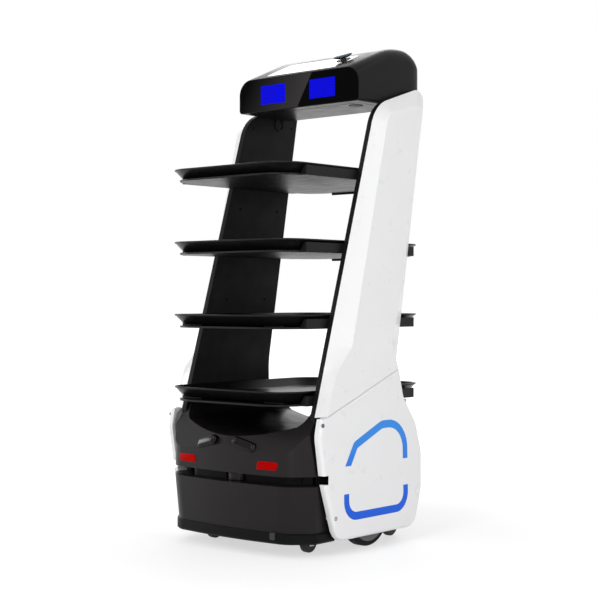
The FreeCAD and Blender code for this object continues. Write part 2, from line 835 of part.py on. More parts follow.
rim_corners = tray_outline()
wall_corners = inset(rim_corners, "tray_rim_wide")
foot_corners = inset(wall_corners, "tray_flare")
for level in LEVELS:
    rim = shelf_rim(level)
    top = rim + "-shelf_drop"
    shelf = slab("shelf_%d" % (level + 1), "XY", top + "-shelf_thick",
                 inset(rim_corners, "shelf_inset"), "shelf_thick")
    for sign in ("1", "-1"):
        rail = [("rail_inner", top + "-shelf_thick"), ("frame_gap_half", top + "-shelf_thick"),
                ("frame_gap_half", rim + "-tray_lip-lip_clear"),
                ("rail_top_inner", rim + "-tray_lip-lip_clear"), ("rail_inner", top)]
        rail = [(at_side(sign, corner[0]), corner[1]) for corner in rail]
        add(shelf, "XZ", "rail_front_y", rail, "rail_rear_y-rail_front_y")
    sketch = new_sketch(shelf, "XY", top)
    for sign in ("1", "-1"):
        for end in ("1", "-1"):
            across = ["%s*(pad_x%spad_long/2)" % (sign, way) for way in "-+"]
            along = ["%s*(pad_y%spad_wide/2)" % (end, way) for way in "-+"]
            outline(sketch, box_corners(across[0], across[1], along[0], along[1]))
    extrude(shelf, "Pad", sketch, "shelf_drop-tray_deep")
    flange_half = "(tray_half_wide-tray_side_bow-tray_corner)"
    add(shelf, "XY", top + "-shelf_thick",
        box_corners("-" + flange_half, flange_half,
                    "tray_half_long-shelf_inset-shelf_flange_thick", "tray_half_long-shelf_inset"),
        "shelf_flange", backwards=True)
    nodes.append(shelf)

    tray = new_body("tray_%d" % (level + 1))
    foot, lip, floor = rim + "-tray_deep", rim + "-tray_lip", rim + "-tray_deep+tray_floor"
    loft(tray, "AdditiveLoft", [section(tray, "XY", foot, foot_corners),
                                section(tray, "XY", lip, wall_corners)])
    add(tray, "XY", lip, rim_corners, "tray_lip")
    loft(tray, "SubtractiveLoft", [section(tray, "XY", floor, inset(foot_corners, "tray_floor/2")),
                                   section(tray, "XY", rim, inset(wall_corners, "tray_floor/2"))])
    nodes.append(tray)

# ---- base ------------------------------------------------------------------

half_plan = [
    ("0", "nose_y", "nose_crown"),
    ("cheek_x", "cheek_y", "cheek_round"),
    ("jaw_x", "jaw_y", "jaw_round"),
    ("jaw_x", "step_y"),
    ("frame_gap_half", "step_y"),
    ("frame_gap_half", "base_rear_y"),
]
half_plan_top = [
    ("0", "nose_y+lean_nose", "nose_crown"),
    ("cheek_x-lean_cheek_x", "cheek_y+lean_cheek_y", "cheek_round"),
    ("jaw_x-lean_jaw_x", "jaw_y", "lean_jaw_round"),
    ("jaw_x-lean_jaw_x", "step_y"),
    ("frame_gap_half", "step_y"),
    ("frame_gap_half", "base_rear_y"),
]
inner_side_y = "cheek_y+shell_wall+(frame_gap_half-base_wall-cheek_x)*(jaw_y-cheek_y)/(jaw_x-cheek_x)"
half_inside = [
    ("0", "nose_y+shell_wall", "nose_crown"),
    ("cheek_x-shell_wall", "cheek_y+shell_wall", "cheek_round/2"),
    ("frame_gap_half-base_wall", inner_side_y),
    ("frame_gap_half-base_wall", "base_rear_y-base_wall"),
]
shell = slab("base_upper_shell", "XY", "slot_high_z", mirrored(half_plan), "brow_z-slot_high_z")
loft(shell, "AdditiveLoft", [section(shell, "XY", "brow_z", mirrored(half_plan)),
                             section(shell, "XY", "shell_top_z", mirrored(half_plan_top))])
bowl_front = mirrored([("bowl_lip_x", "bowl_lip_z", "bowl_lip_round"),
                       ("bowl_side_x", "bowl_side_front_z", "bowl_side_round"),
                       ("bowl_edge_x", "bowl_edge_z")])
bowl_rear = mirrored([("bowl_tail_x", "bowl_tail_z", "bowl_tail_round"),
                      ("bowl_side_x", "bowl_side_rear_z", "bowl_side_round"),
                      ("bowl_edge_x", "bowl_edge_z")])
loft(shell, "SubtractiveLoft", [section(shell, "XZ", "nose_y-base_wall", bowl_front),
                                section(shell, "XZ", "base_rear_y+base_wall", bowl_rear)])
cut(shell, "XY", "slot_high_z", mirrored(half_inside), "bowl_tail_z-bowl_floor_thick-slot_high_z")
nodes.append(shell)


def face_y(x):
    """The front of the base between its crown and its cheeks."""
    return "nose_y+(cheek_y-nose_y)/cheek_x*(%s)" % x


for name, sign in SIDES:
    window = [("eye_inner_x", "eye_inner_z"), ("eye_chin_x", "eye_chin_z", "eye_round"),
              ("eye_outer_x", "eye_outer_z", "eye_round"), ("eye_inner_x", "eye_top_z")]
    window = [(at_side(sign, corner[0]),) + corner[1:] for corner in window]
    cut(shell, "XZ", "nose_y-base_wall", window, "base_wall+eye_deep")
    camera = slab("front_camera_" + name, "XZ", "nose_y+eye_sink+lean_nose/4", window,
                  "eye_deep-eye_sink-lean_nose/4")
    boss(camera, "XZ", "nose_y+eye_sink+lean_nose/4", [(at_side(sign, "eye_lens_x"), "eye_lens_z-eye_lens_tall")],
         "eye_lens_r", "eye_lens_tall", backwards=True)
    nodes.append(camera)
    lamp_plan = [("lamp_inner_x", face_y("lamp_inner_x") + "-lamp_proud"),
                 ("lamp_outer_x", face_y("lamp_outer_x") + "-lamp_proud"),
                 ("lamp_outer_x", face_y("lamp_outer_x") + "+lamp_deep"),
                 ("lamp_inner_x", face_y("lamp_inner_x") + "+lamp_deep")]
    lamp_plan = [(at_side(sign, corner[0]), corner[1]) for corner in lamp_plan]
    lamp = slab("brake_lamp_" + name, "XY", "lamp_z-lamp_tall/2", lamp_plan, "lamp_tall")
    opening = box_corners(at_side(sign, "lamp_inner_x"), at_side(sign, "lamp_outer_x"),
                          "lamp_z-lamp_tall/2", "lamp_z+lamp_tall/2")
    cut(shell, "XZ", "nose_y-base_wall", opening, "2*base_wall+cheek_y-nose_y+lamp_deep/2")
    nodes.append(lamp)

skirt_top = mirrored([
    ("0", "nose_y+skirt_top_tuck", "nose_crown"),
    ("cheek_x-skirt_top_tuck", "cheek_y+skirt_top_tuck", "cheek_round"),
    ("jaw_x-skirt_top_tuck", "jaw_y", "jaw_round"),
    ("jaw_x-skirt_top_tuck", "skirt_end_y"),
])
skirt_foot = mirrored([
    ("0", "nose_y+skirt_nose_tuck", "nose_crown"),
    ("cheek_x-skirt_cheek_tuck", "cheek_y+skirt_cheek_tuck", "cheek_round"),
    ("jaw_x-skirt_jaw_tuck", "jaw_y+skirt_top_tuck", "jaw_round"),
    ("jaw_x-skirt_jaw_tuck", "skirt_end_y"),
])


def open_at_rear(corners, rear):
    """An inset outline whose straight rear edge is moved back, past the piece it hollows."""
    last = max(value_of(corner[1]) for corner in corners)
    return [(corner[0], rear) if abs(value_of(corner[1]) - last) < 0.01 else corner for corner in corners]


skirt = new_body("front_skirt")
loft(skirt, "AdditiveLoft", [section(skirt, "XY", "skirt_low_z", skirt_foot),
                             section(skirt, "XY", "slot_low_z", skirt_top)])
hollow = [open_at_rear(inset(corners, "base_wall"), "skirt_end_y+base_wall")
          for corners in (skirt_foot, skirt_top)]
loft(skirt, "SubtractiveLoft", [section(skirt, "XY", "skirt_low_z-base_wall/2", hollow[0]),
                                section(skirt, "XY", "slot_low_z-skirt_ledge", hollow[1])])
frame_front = "frame_toe_y+(frame_throat_y-frame_toe_y)*(slot_low_z-deck_z)/(frame_throat_z-deck_z)"
for sign in ("1", "-1"):
    cut(skirt, "XY", "slot_low_z-skirt_ledge",
        box_corners(at_side(sign, "frame_gap_half"), at_side(sign, frame_outer), frame_front,
                    "skirt_end_y+base_wall"), "skirt_ledge")
    drill(skirt, "YZ", at_side(sign, frame_outer), posts[:1], "post_r+piece_clear",
          "jaw_x-frame_gap_half", sign == "-1")
drill(skirt, "XY", "slot_low_z-skirt_ledge", [("0", "lidar_y")], "lidar_r+piece_clear", "skirt_ledge")
nodes.append(skirt)

core = slab("slot_core", "XY", "slot_low_z", mirrored([
    ("0", "nose_y+core_inset", "nose_crown"),
    ("core_cheek_x", "core_cheek_y", "cheek_round/2"),
    ("core_side_x", "core_side_y"),
    ("core_side_x", "core_end_y"),
]), "slot_high_z-slot_low_z")
add(core, "XY", "slot_high_z", mirrored(half_inside[:3] + [("frame_gap_half-base_wall", "core_end_y")]),
    "core_flange")
drill(core, "XY", "slot_low_z", [("0", "lidar_y")], "lidar_bay_r", "slot_high_z-slot_low_z")
for sign in ("1", "-1"):
    cut(core, "XY", "slot_low_z",
        box_corners(at_side(sign, "core_pocket_inner"), at_side(sign, "core_pocket_outer"),
                    "core_pocket_front_y", "core_pocket_rear_y"), "slot_high_z-slot_low_z")
nodes.append(core)

lidar = new_body("lidar_body")
boss(lidar, "XY", "slot_low_z-lidar_foot_tall", [("0", "lidar_y")], "lidar_r", "lidar_foot_tall")
boss(lidar, "XY", "slot_low_z-skirt_ledge-lidar_flange", [("0", "lidar_y")], "lidar_flange_r",
     "lidar_flange")
boss(lidar, "XY", "slot_low_z", [("0", "lidar_y")], "lidar_pin_r", "lidar_pin_tall")
nodes.append(lidar)
rotor = new_body("lidar_rotor")
boss(rotor, "XY", "slot_low_z+turn_clear", [("0", "lidar_y")], "lidar_r", "lidar_head_tall")
drill(rotor, "XY", "slot_low_z+turn_clear", [("0", "lidar_y")], "lidar_pin_r+spin_clear",
      "lidar_pin_tall+turn_clear")
nodes.append(rotor)

bumper_outer = mirrored([
    ("0", "nose_y+skirt_nose_tuck-bumper_proud", "nose_crown"),
    ("cheek_x-skirt_cheek_tuck+bumper_proud/2", "cheek_y+skirt_cheek_tuck-bumper_proud", "cheek_round"),
    ("jaw_x-skirt_jaw_tuck+bumper_proud", "jaw_y+skirt_top_tuck", "jaw_round"),
    ("jaw_x-skirt_jaw_tuck+bumper_proud", "bumper_end_y"),
])
bumper = slab("front_bumper", "XY", "bumper_low_z", bumper_outer, "bumper_tall")
bumper_foot, bumper_top = value_of("bumper_low_z"), value_of("bumper_low_z+bumper_tall")
bumper_end = value_of("bumper_end_y")
soften(bumper, bumper.Tip, "bumper_edge", lambda edge:
       (flat_at(edge, "Z", bumper_foot) or flat_at(edge, "Z", bumper_top))
       and not flat_at(edge, "Y", bumper_end), "Chamfer")
cut(bumper, "XY", "bumper_low_z", open_at_rear(inset(bumper_outer, "bumper_thick"),
                                               "bumper_end_y+base_wall"), "bumper_tall")
for sign in ("1", "-1"):
    guide = box_corners(at_side(sign, "guide_x-guide_half"), at_side(sign, "guide_x+guide_half"),
                        "guide_low_z", "guide_low_z+guide_tall")
    add(bumper, "XZ", face_y("guide_x") + "+bumper_thick/2", guide,
        "guide_end_y-bumper_thick/2-(%s)" % face_y("guide_x"))
nodes.append(bumper)

deck = slab("base_plate", "XY", "deck_z", mirrored([
    ("0", "deck_nose_y"),
    ("deck_cheek_x", "deck_cheek_y", "cheek_round/2"),
    ("frame_gap_half", "deck_jaw_y"),
    ("frame_gap_half", "base_rear_y-rear_thick"),
]), "deck_thick")
for sign in ("1", "-1"):
    cut(deck, "XY", "deck_z", box_corners(at_side(sign, "well_inner"), at_side(sign, "body_half"),
                                          "well_front_y", "well_rear_y"), "deck_thick")
    cut(deck, "XY", "deck_z",
        box_corners(at_side(sign, "wheel_x-wheel_wide/2-motor_long-2*motor_gap"),
                    at_side(sign, "well_inner+motor_gap"),
                    "wheel_y-motor_well_half", "wheel_y+motor_well_half"), "deck_thick")
    add(deck, "XZ", "bracket_front_y",
        box_corners(at_side(sign, "guide_x-bracket_half"), at_side(sign, "guide_x+bracket_half"),
                    "bracket_low_z", "deck_z"), "bracket_long")
    cut(deck, "XZ", "bracket_front_y",
        box_corners(at_side(sign, "guide_x-guide_half-guide_clear"),
                    at_side(sign, "guide_x+guide_half+guide_clear"),
                    "guide_low_z-guide_clear", "guide_low_z+guide_tall+guide_clear"), "bracket_long")
nodes.append(deck)

battery = slab("battery_pack", "XY", "deck_z+deck_thick",
               box_corners("-battery_half", "battery_half", "battery_front_y", "battery_rear_y"),
               "battery_tall")
soften(battery, battery.Tip, "rear_thick", lambda edge: edge.BoundBox.ZLength > 1, "Chamfer")
nodes.append(battery)
brain = slab("control_box", "XY", "deck_z+deck_thick",
             box_corners("-brain_half", "brain_half", "brain_front_y", "brain_rear_y"), "brain_tall")
soften(brain, brain.Tip, "rear_thick", lambda edge: edge.BoundBox.ZLength > 1, "Chamfer")
nodes.append(brain)

rear = slab("rear_cover", "XY", "deck_z+deck_thick",
            box_corners("-frame_gap_half", "frame_gap_half", "base_rear_y-rear_return", "base_rear_y"),
            "slot_high_z-deck_z-deck_thick")
cut(rear, "XY", "deck_z+deck_thick",
    box_corners("rear_thick-frame_gap_half", "frame_gap_half-rear_thick",
                "base_rear_y-rear_return-rear_thick", "base_rear_y-rear_thick"),
    "slot_high_z-deck_z-deck_thick")
port_corners = box_corners("-port_half", "port_half", "port_z-port_half_tall", "port_z+port_half_tall")
cut(rear, "XZ", "base_rear_y-rear_thick", port_corners, "rear_thick")
drill(rear, "XZ", "base_rear_y-rear_thick", [("power_x", "power_z")], "power_r+power_clear", "rear_thick")
nodes.append(rear)
port = slab("charge_port", "XZ", "base_rear_y-port_deep", port_corners, "port_deep+port_proud")
for sign in ("1", "-1"):
    cut(port, "XZ", "base_rear_y",
        box_corners("-contact_half", "contact_half", "port_z+%s*contact_rise-contact_half_tall" % sign,
                    "port_z+%s*contact_rise+contact_half_tall" % sign), "port_proud")
nodes.append(port)
contacts = []
for index, sign in enumerate(("1", "-1")):
    contacts.append(slab("contact_%d" % (index + 1), "XZ", "base_rear_y", box_corners(
        "-contact_half", "contact_half", "port_z+%s*contact_rise-contact_half_tall" % sign,
        "port_z+%s*contact_rise+contact_half_tall" % sign), "port_proud"))
nodes.append(group("charge_contacts", contacts))
power = new_body("power_button")
boss(power, "XZ", "base_rear_y+power_proud-power_tall", [("power_x", "power_z")], "power_r", "power_tall")
nodes.append(power)

# ---- wheels ----------------------------------------------------------------

for name, sign in SIDES:
    inward = sign == "-1"
    centre = [("wheel_y", "wheel_r")]
    inner_face = at_side(sign, "wheel_x-wheel_wide/2")
    motor_face = at_side(sign, "wheel_x-wheel_wide/2-motor_gap")
    motor = new_body("drive_motor_" + name)
    boss(motor, "YZ", motor_face, centre, "motor_r", "motor_long", not inward)
    add(motor, "YZ", motor_face, box_corners("wheel_y-motor_foot_half", "wheel_y+motor_foot_half",
                                             "deck_z+deck_thick", "deck_z+deck_thick+motor_foot_tall"),
        "motor_foot_long", not inward)
    boss(motor, "YZ", motor_face, centre, "axle_r", "hub_bore_deep", inward)
    nodes.append(motor)
    hub = new_body("wheel_hub_" + name)
    boss(hub, "YZ", inner_face, centre, "wheel_r-tyre_thick", "wheel_wide", inward)
    drill(hub, "YZ", inner_face, centre, "axle_r+axle_clear", "hub_bore_deep", inward)
    drill(hub, "YZ", at_side(sign, "wheel_x+wheel_wide/2-hub_dish_deep"), centre, "hub_dish_r",
          "hub_dish_deep", inward)
    nodes.append(hub)
    tyre = new_body("tyre_" + name)
    ring(tyre, "YZ", inner_face, "wheel_y", "wheel_r", "wheel_r", "wheel_r-tyre_thick", "wheel_wide", inward)
    tread = value_of("2*wheel_r")
    soften(tyre, tyre.Tip, "tyre_edge", lambda edge: abs(edge.BoundBox.ZLength - tread) < 0.01, "Chamfer")
    nodes.append(tyre)

def square_at(x_text, y_text, half):
    return box_corners("%s-%s" % (x_text, half), "%s+%s" % (x_text, half),
                       "%s-%s" % (y_text, half), "%s+%s" % (y_text, half))


mounts = []
for end, place_y in (("front", "caster_front_y"), ("rear", "caster_rear_y")):
    for name, sign in SIDES:
        place_x = at_side(sign, "caster_x")
        label = "_%s_%s" % (end, name)
        mount = new_body("caster_mount" + label)
        sketch = new_sketch(mount, "XY", "fork_z+mount_gap")
        outline(sketch, square_at(place_x, place_y, "mount_half"))
        circle(sketch, place_x, place_y, "stem_r+spin_clear")
        extrude(mount, "Pad", sketch, "deck_z-fork_z-mount_gap")
        mounts.append(mount)
        axle_y = "%s+caster_trail" % place_y
        fork = new_body("caster_fork" + label)
        add(fork, "XY", "fork_z-fork_thick", square_at(place_x, place_y, "fork_plate_half"), "fork_thick")
        boss(fork, "XY", "fork_z", [(place_x, place_y)], "stem_r", "deck_z-fork_z-2*motor_gap")
        for way in ("+", "-"):
            arm = "%s%s(caster_wide/2+fork_gap)" % (place_x, way)
            add(fork, "YZ", arm, [
                ("%s-fork_arm_half" % place_y, "fork_z-fork_thick/2"),
                ("%s+fork_arm_half" % place_y, "fork_z-fork_thick/2"),
                ("%s+fork_arm_half" % axle_y, "caster_r-fork_arm_half"),
                ("%s-fork_arm_half" % axle_y, "caster_r-fork_arm_half"),
            ], "fork_thick", way == "-")
        boss(fork, "YZ", place_x, [(axle_y, "caster_r")], "caster_axle_r",
             "caster_wide+2*fork_gap+fork_thick", middle=True)
        nodes.append(fork)
        wheel = new_body("caster_wheel" + label)
        sketch = new_sketch(wheel, "YZ", place_x)
        circle(sketch, axle_y, "caster_r", "caster_r")
        circle(sketch, axle_y, "caster_r", "caster_axle_r+spin_clear")
        extrude(wheel, "Pad", sketch, "caster_wide", middle=True)
        soften(wheel, wheel.Tip, "fork_thick", lambda edge:
               abs(edge.BoundBox.ZLength - value_of("2*caster_r")) < 0.01, "Chamfer")
        nodes.append(wheel)
nodes.append(group("caster_mounts", mounts))

# ---- head ------------------------------------------------------------------

def head_section(half, low, high, foot_round, top_round):
    return mirrored([(half, low, foot_round), (half, high, top_round)])


crest_half = "frame_gap_half"
head_stations = [
    ("head_front_y", head_section("face_half", "head_low_z", "face_top_z", "head_foot_round", "head_round")),
    ("head_crest_y", head_section(crest_half, "head_low_z", "head_crest_z", "head_foot_round", "head_round")),
    ("head_back_y", head_section(crest_half, "head_low_z", "head_back_z", "head_foot_round", "head_round")),
    ("head_turn_y", head_section(crest_half, "head_low_z", "head_turn_z", "head_foot_round", "head_round")),
    ("head_nape_y", head_section(crest_half, "head_nape_low_z", "head_nape_high_z", "head_foot_round",
                                 "head_nape_round")),
    ("head_rear_y", head_section(crest_half, "head_rear_low_z", "head_rear_high_z", "head_foot_round",
                                 "head_rear_round")),
    ("head_tip_y", head_section(crest_half + "-head_tip_tuck", "head_tip_low_z", "head_tip_high_z",
                                "head_foot_round", "head_tip_round")),
]
head = new_body("head_shell")
loft(head, "AdditiveLoft", [section(head, "XZ", place, corners) for place, corners in head_stations])
inner = [("head_front_y+face_deep" if place == "head_front_y" else place, inset(corners, "head_wall"))
         for place, corners in head_stations[:-1]]
loft(head, "SubtractiveLoft", [section(head, "XZ", place, corners) for place, corners in inner])
face_corners = inset(head_stations[0][1], "face_rim")
cut(head, "XZ", "head_front_y", face_corners, "face_deep")
hatch_corners = box_corners("-hatch_half", "hatch_half", "hatch_front_y", "hatch_rear_y", "hatch_round")
cut(head, "XY", "head_low_z", hatch_corners, "head_wall")
beam_corners = box_corners("beam_y-beam_wide/2", "beam_y+beam_wide/2", "beam_z-beam_tall/2",
                           "beam_z+beam_tall/2")
cut(head, "YZ", "0", beam_corners, "2*frame_gap_half", middle=True)

slope = "atan((head_crest_z-face_top_z)/(head_crest_y-head_front_y))"


def sloped(body, height):
    """A sketch on the sloping top of the head: x across, y up the slope from its front edge."""
    sketch = new_sketch(body, "XY")
    sketch.AttachmentOffset = FreeCAD.Placement(V(0, 0, 0), FreeCAD.Rotation(V(1, 0, 0), 1))
    sketch.setExpression("AttachmentOffset.Rotation.Angle", linked(slope))
    sketch.setExpression("AttachmentOffset.Base.y", linked("head_front_y-(%s)*sin(%s)" % (height, slope)))
    sketch.setExpression("AttachmentOffset.Base.z", linked("face_top_z+(%s)*cos(%s)" % (height, slope)))
    return sketch


def on_slope(body, kind, height, corners, length, backwards=False):
    sketch = sloped(body, height)
    outline(sketch, corners)
    return extrude(body, kind, sketch, length, backwards)


def round_on_slope(body, kind, height, radius, length, backwards=False):
    sketch = sloped(body, height)
    circle(sketch, "stop_x", "stop_along", radius)
    return extrude(body, kind, sketch, length, backwards)


top_corners = box_corners("-top_half", "top_half", "top_start", "top_end", "top_round")
on_slope(head, "Pocket", "-top_sink", top_corners, "2*top_sink")
round_on_slope(head, "Pocket", "-head_wall-top_sink", "stop_stem_r+stop_clear", "head_wall+top_sink")
nodes.append(head)

panel = new_body("top_panel")
on_slope(panel, "Pad", "-top_sink", top_corners, "top_sink+top_proud")
round_on_slope(panel, "Pocket", "-top_sink", "stop_stem_r+stop_clear", "top_sink+top_proud")
middle = "(top_start+top_end)/2"
screen_corners = box_corners("screen_x-screen_half", "screen_x+screen_half",
                             middle + "-screen_half_long", middle + "+screen_half_long")
on_slope(panel, "Pocket", "top_proud-screen_deep", screen_corners, "screen_deep")
nodes.append(panel)
screen = new_body("touch_screen")
on_slope(screen, "Pad", "top_proud-screen_deep", screen_corners, "screen_deep")
nodes.append(screen)

collar = new_body("stop_collar")
round_on_slope(collar, "Pad", "top_proud", "stop_collar_r", "stop_collar_tall")
round_on_slope(collar, "Pocket", "top_proud", "stop_stem_r+stop_clear", "stop_collar_tall")
round_on_slope(collar, "Pocket", "top_proud+stop_collar_tall-stop_recess", "stop_button_r+stop_clear",
               "stop_recess")
nodes.append(collar)
button_foot = "top_proud+stop_collar_tall-stop_recess+stop_travel+piece_clear"
button = new_body("stop_button")
round_on_slope(button, "Pad", button_foot, "stop_button_r", "stop_button_tall")
round_on_slope(button, "Pad", button_foot, "stop_stem_r", "stop_stem_deep", backwards=True)
button_top = max(button.Shape.Faces, key=lambda face: face.CenterOfMass.z - face.CenterOfMass.y).CenterOfMass
soften(button, button.Tip, "stop_button_tall/3", lambda edge:
       edge.Length > 6.2 * value_of("stop_button_r") and (edge.CenterOfMass - button_top).Length < 0.1,
       "Chamfer")
nodes.append(button)

face = slab("face_panel", "XZ", "head_front_y", face_corners, "face_deep")
for name, sign in SIDES:
    led_corners = box_corners(at_side(sign, "led_x-led_wide/2"), at_side(sign, "led_x+led_wide/2"),
                              "led_z-led_tall/2", "led_z+led_tall/2")
    cut(face, "XZ", "head_front_y", led_corners, "led_deep")
    nodes.append(slab("eye_display_" + name, "XZ", "head_front_y", led_corners, "led_deep"))
nodes.append(face)

hatch = slab("head_base", "XY", "head_low_z", hatch_corners, "hatch_thick")
drill(hatch, "XY", "head_low_z", [("lens_x", "lens_y")], "lens_r", "hatch_thick")
nodes.append(hatch)
lens = new_body("head_lens")
boss(lens, "XY", "head_low_z-lens_proud", [("lens_x", "lens_y")], "lens_r", "hatch_thick+lens_proud")
nodes.append(lens)

beams = []
for label, height, along in (("head_beam", "beam_z", "beam_y"), ("base_beam", "tie_z", "tie_y")):
    corners = box_corners("%s-beam_wide/2" % along, "%s+beam_wide/2" % along,
                          "%s-beam_tall/2" % height, "%s+beam_tall/2" % height)
    beam = new_body(label)
    sketch = new_sketch(beam, "YZ")
    outline(sketch, corners)
    outline(sketch, inset(corners, "beam_wall"))
    extrude(beam, "Pad", sketch, "2*frame_gap_half", middle=True)
    beams.append(beam)
cut(shell, "YZ", "0", corners, "2*frame_gap_half", middle=True)
nodes.append(group("cross_beams", beams))

# ---- check and export ------------------------------------------------------

doc.recompute()
for item in doc.Objects:
    if "Invalid" in item.State or "Error" in item.State:
        raise RuntimeError("%s did not build: %s" % (item.Label, item.State))
os.makedirs("parts", exist_ok=True)
for node in nodes:
    shape = node.Shape
    if shape.isNull() or not shape.isValid() or not shape.Solids:
        raise RuntimeError(node.Label + ": not a valid solid")
    if node.TypeId == "PartDesign::Body" and len(shape.Solids) != 1:
        raise RuntimeError("%s: %d solids" % (node.Label, len(shape.Solids)))
    shape.exportStep("parts/%s.step" % node.Label)
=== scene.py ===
import bpy
import bmesh
import json
import math
from mathutils import Matrix, Vector


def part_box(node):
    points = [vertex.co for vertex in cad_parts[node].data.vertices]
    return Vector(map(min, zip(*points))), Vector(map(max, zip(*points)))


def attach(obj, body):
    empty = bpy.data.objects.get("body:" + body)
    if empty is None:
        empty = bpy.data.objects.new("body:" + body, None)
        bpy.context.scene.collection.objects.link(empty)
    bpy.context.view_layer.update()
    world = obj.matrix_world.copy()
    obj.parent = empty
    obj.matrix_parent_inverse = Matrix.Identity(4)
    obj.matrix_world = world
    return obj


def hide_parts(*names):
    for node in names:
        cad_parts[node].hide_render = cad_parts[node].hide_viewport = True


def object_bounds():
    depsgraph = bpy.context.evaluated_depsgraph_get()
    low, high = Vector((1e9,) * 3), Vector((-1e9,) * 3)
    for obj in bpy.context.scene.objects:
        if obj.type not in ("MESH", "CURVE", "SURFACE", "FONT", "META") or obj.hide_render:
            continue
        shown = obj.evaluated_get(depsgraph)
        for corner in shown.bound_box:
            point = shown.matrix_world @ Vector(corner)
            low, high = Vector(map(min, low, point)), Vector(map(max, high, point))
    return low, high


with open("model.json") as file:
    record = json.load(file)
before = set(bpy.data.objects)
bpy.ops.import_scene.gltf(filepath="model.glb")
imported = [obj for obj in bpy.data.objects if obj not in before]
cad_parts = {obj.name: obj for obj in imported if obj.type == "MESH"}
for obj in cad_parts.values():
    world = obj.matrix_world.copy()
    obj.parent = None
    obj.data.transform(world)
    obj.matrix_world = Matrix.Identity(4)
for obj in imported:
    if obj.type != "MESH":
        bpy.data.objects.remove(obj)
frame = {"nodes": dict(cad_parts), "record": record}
cad_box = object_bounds()
record = frame["record"]
nodes = frame["nodes"]
body_of_node = {node: body for body, names in record["behaviour"]["bodies"].items() for node in names}
slot_of_node = {part["node"]: part["material_slot"] for part in record["subparts"]}
SIDES = (("left", 1), ("right", -1))


# ---- materials -------------------------------------------------------------

def colour(red, green, blue):
    """A colour as seen on screen, 0 to 255, as the linear values that a shader takes."""
    def linear(value):
        value /= 255
        return value / 12.92 if value <= 0.04045 else ((value + 0.055) / 1.055) ** 2.4
    return (linear(red), linear(green), linear(blue), 1)


class Finish:
    """A material made up node by node."""

    def __init__(self, name):
        self.material = bpy.data.materials.new(name)
        self.material.use_nodes = True
        self.nodes = self.material.node_tree.nodes
        self.links = self.material.node_tree.links
        self.shader = self.nodes["Principled BSDF"]
        self.place = self.nodes.new("ShaderNodeTexCoord").outputs["Object"]

    def noise(self, scale, detail=3.0, stretch=None):
        place = self.place
        if stretch:
            mapping = self.nodes.new("ShaderNodeMapping")
            mapping.inputs["Scale"].default_value = stretch
            self.links.new(place, mapping.inputs["Vector"])
            place = mapping.outputs["Vector"]
        node = self.nodes.new("ShaderNodeTexNoise")
        node.inputs["Scale"].default_value = scale
        node.inputs["Detail"].default_value = detail
        self.links.new(place, node.inputs["Vector"])
        return node.outputs["Fac"]

    def spread(self, source, low, high):
        node = self.nodes.new("ShaderNodeMapRange")
        node.inputs["From Min"].default_value = 0.3
        node.inputs["From Max"].default_value = 0.7
        node.inputs["To Min"].default_value = low
        node.inputs["To Max"].default_value = high
        self.links.new(source, node.inputs["Value"])
        return node.outputs["Result"]

    def blend(self, source, first, second):
        node = self.nodes.new("ShaderNodeMix")
        node.data_type = "RGBA"
        node.inputs["A"].default_value = first
        node.inputs["B"].default_value = second
        self.links.new(source, node.inputs["Factor"])
        return node.outputs["Result"]

    def bump(self, source, height, strength=1.0):
        node = self.nodes.new("ShaderNodeBump")
        node.inputs["Distance"].default_value = height
        node.inputs["Strength"].default_value = strength
        self.links.new(source, node.inputs["Height"])
        self.links.new(node.outputs["Normal"], self.shader.inputs["Normal"])

    def set(self, **values):
        for name, value in values.items():
            self.shader.inputs[name.replace("_", " ")].default_value = value
        return self


def plastic(name, tone, roughness, grain=0.00003, grain_scale=1400, coat=0.0, specular=0.4):
    """Moulded plastic: fine grain, and colour and gloss that vary a little over the surface."""
    finish = Finish(name)
    base = colour(*tone)
    paler = tuple(min(1, value * 1.1 + 0.0008) for value in base[:3]) + (1,)
    finish.links.new(finish.blend(finish.noise(5, 4), base, paler), finish.shader.inputs["Base Color"])
    finish.links.new(finish.spread(finish.noise(26, 5), roughness * 0.88, roughness * 1.12),
                     finish.shader.inputs["Roughness"])
    finish.bump(finish.noise(grain_scale, 2), grain)
    finish.shader.inputs["Specular IOR Level"].default_value = specular
    finish.shader.inputs["Coat Weight"].default_value = coat
    finish.shader.inputs["Coat Roughness"].default_value = 0.08
    return finish.material


def metal(name, tone, roughness, stretch=(1, 1, 1), grain=0.00002):
    """Metal with drawn or cast grain."""
    finish = Finish(name)
    base = colour(*tone)
    darker = tuple(value * 0.82 for value in base[:3]) + (1,)
    finish.links.new(finish.blend(finish.noise(30, 5, stretch), darker, base),
                     finish.shader.inputs["Base Color"])
    finish.links.new(finish.spread(finish.noise(160, 4, stretch), roughness * 0.75, roughness * 1.25),
                     finish.shader.inputs["Roughness"])
    finish.bump(finish.noise(500, 3, stretch), grain)
    finish.shader.inputs["Metallic"].default_value = 1.0
    return finish.material


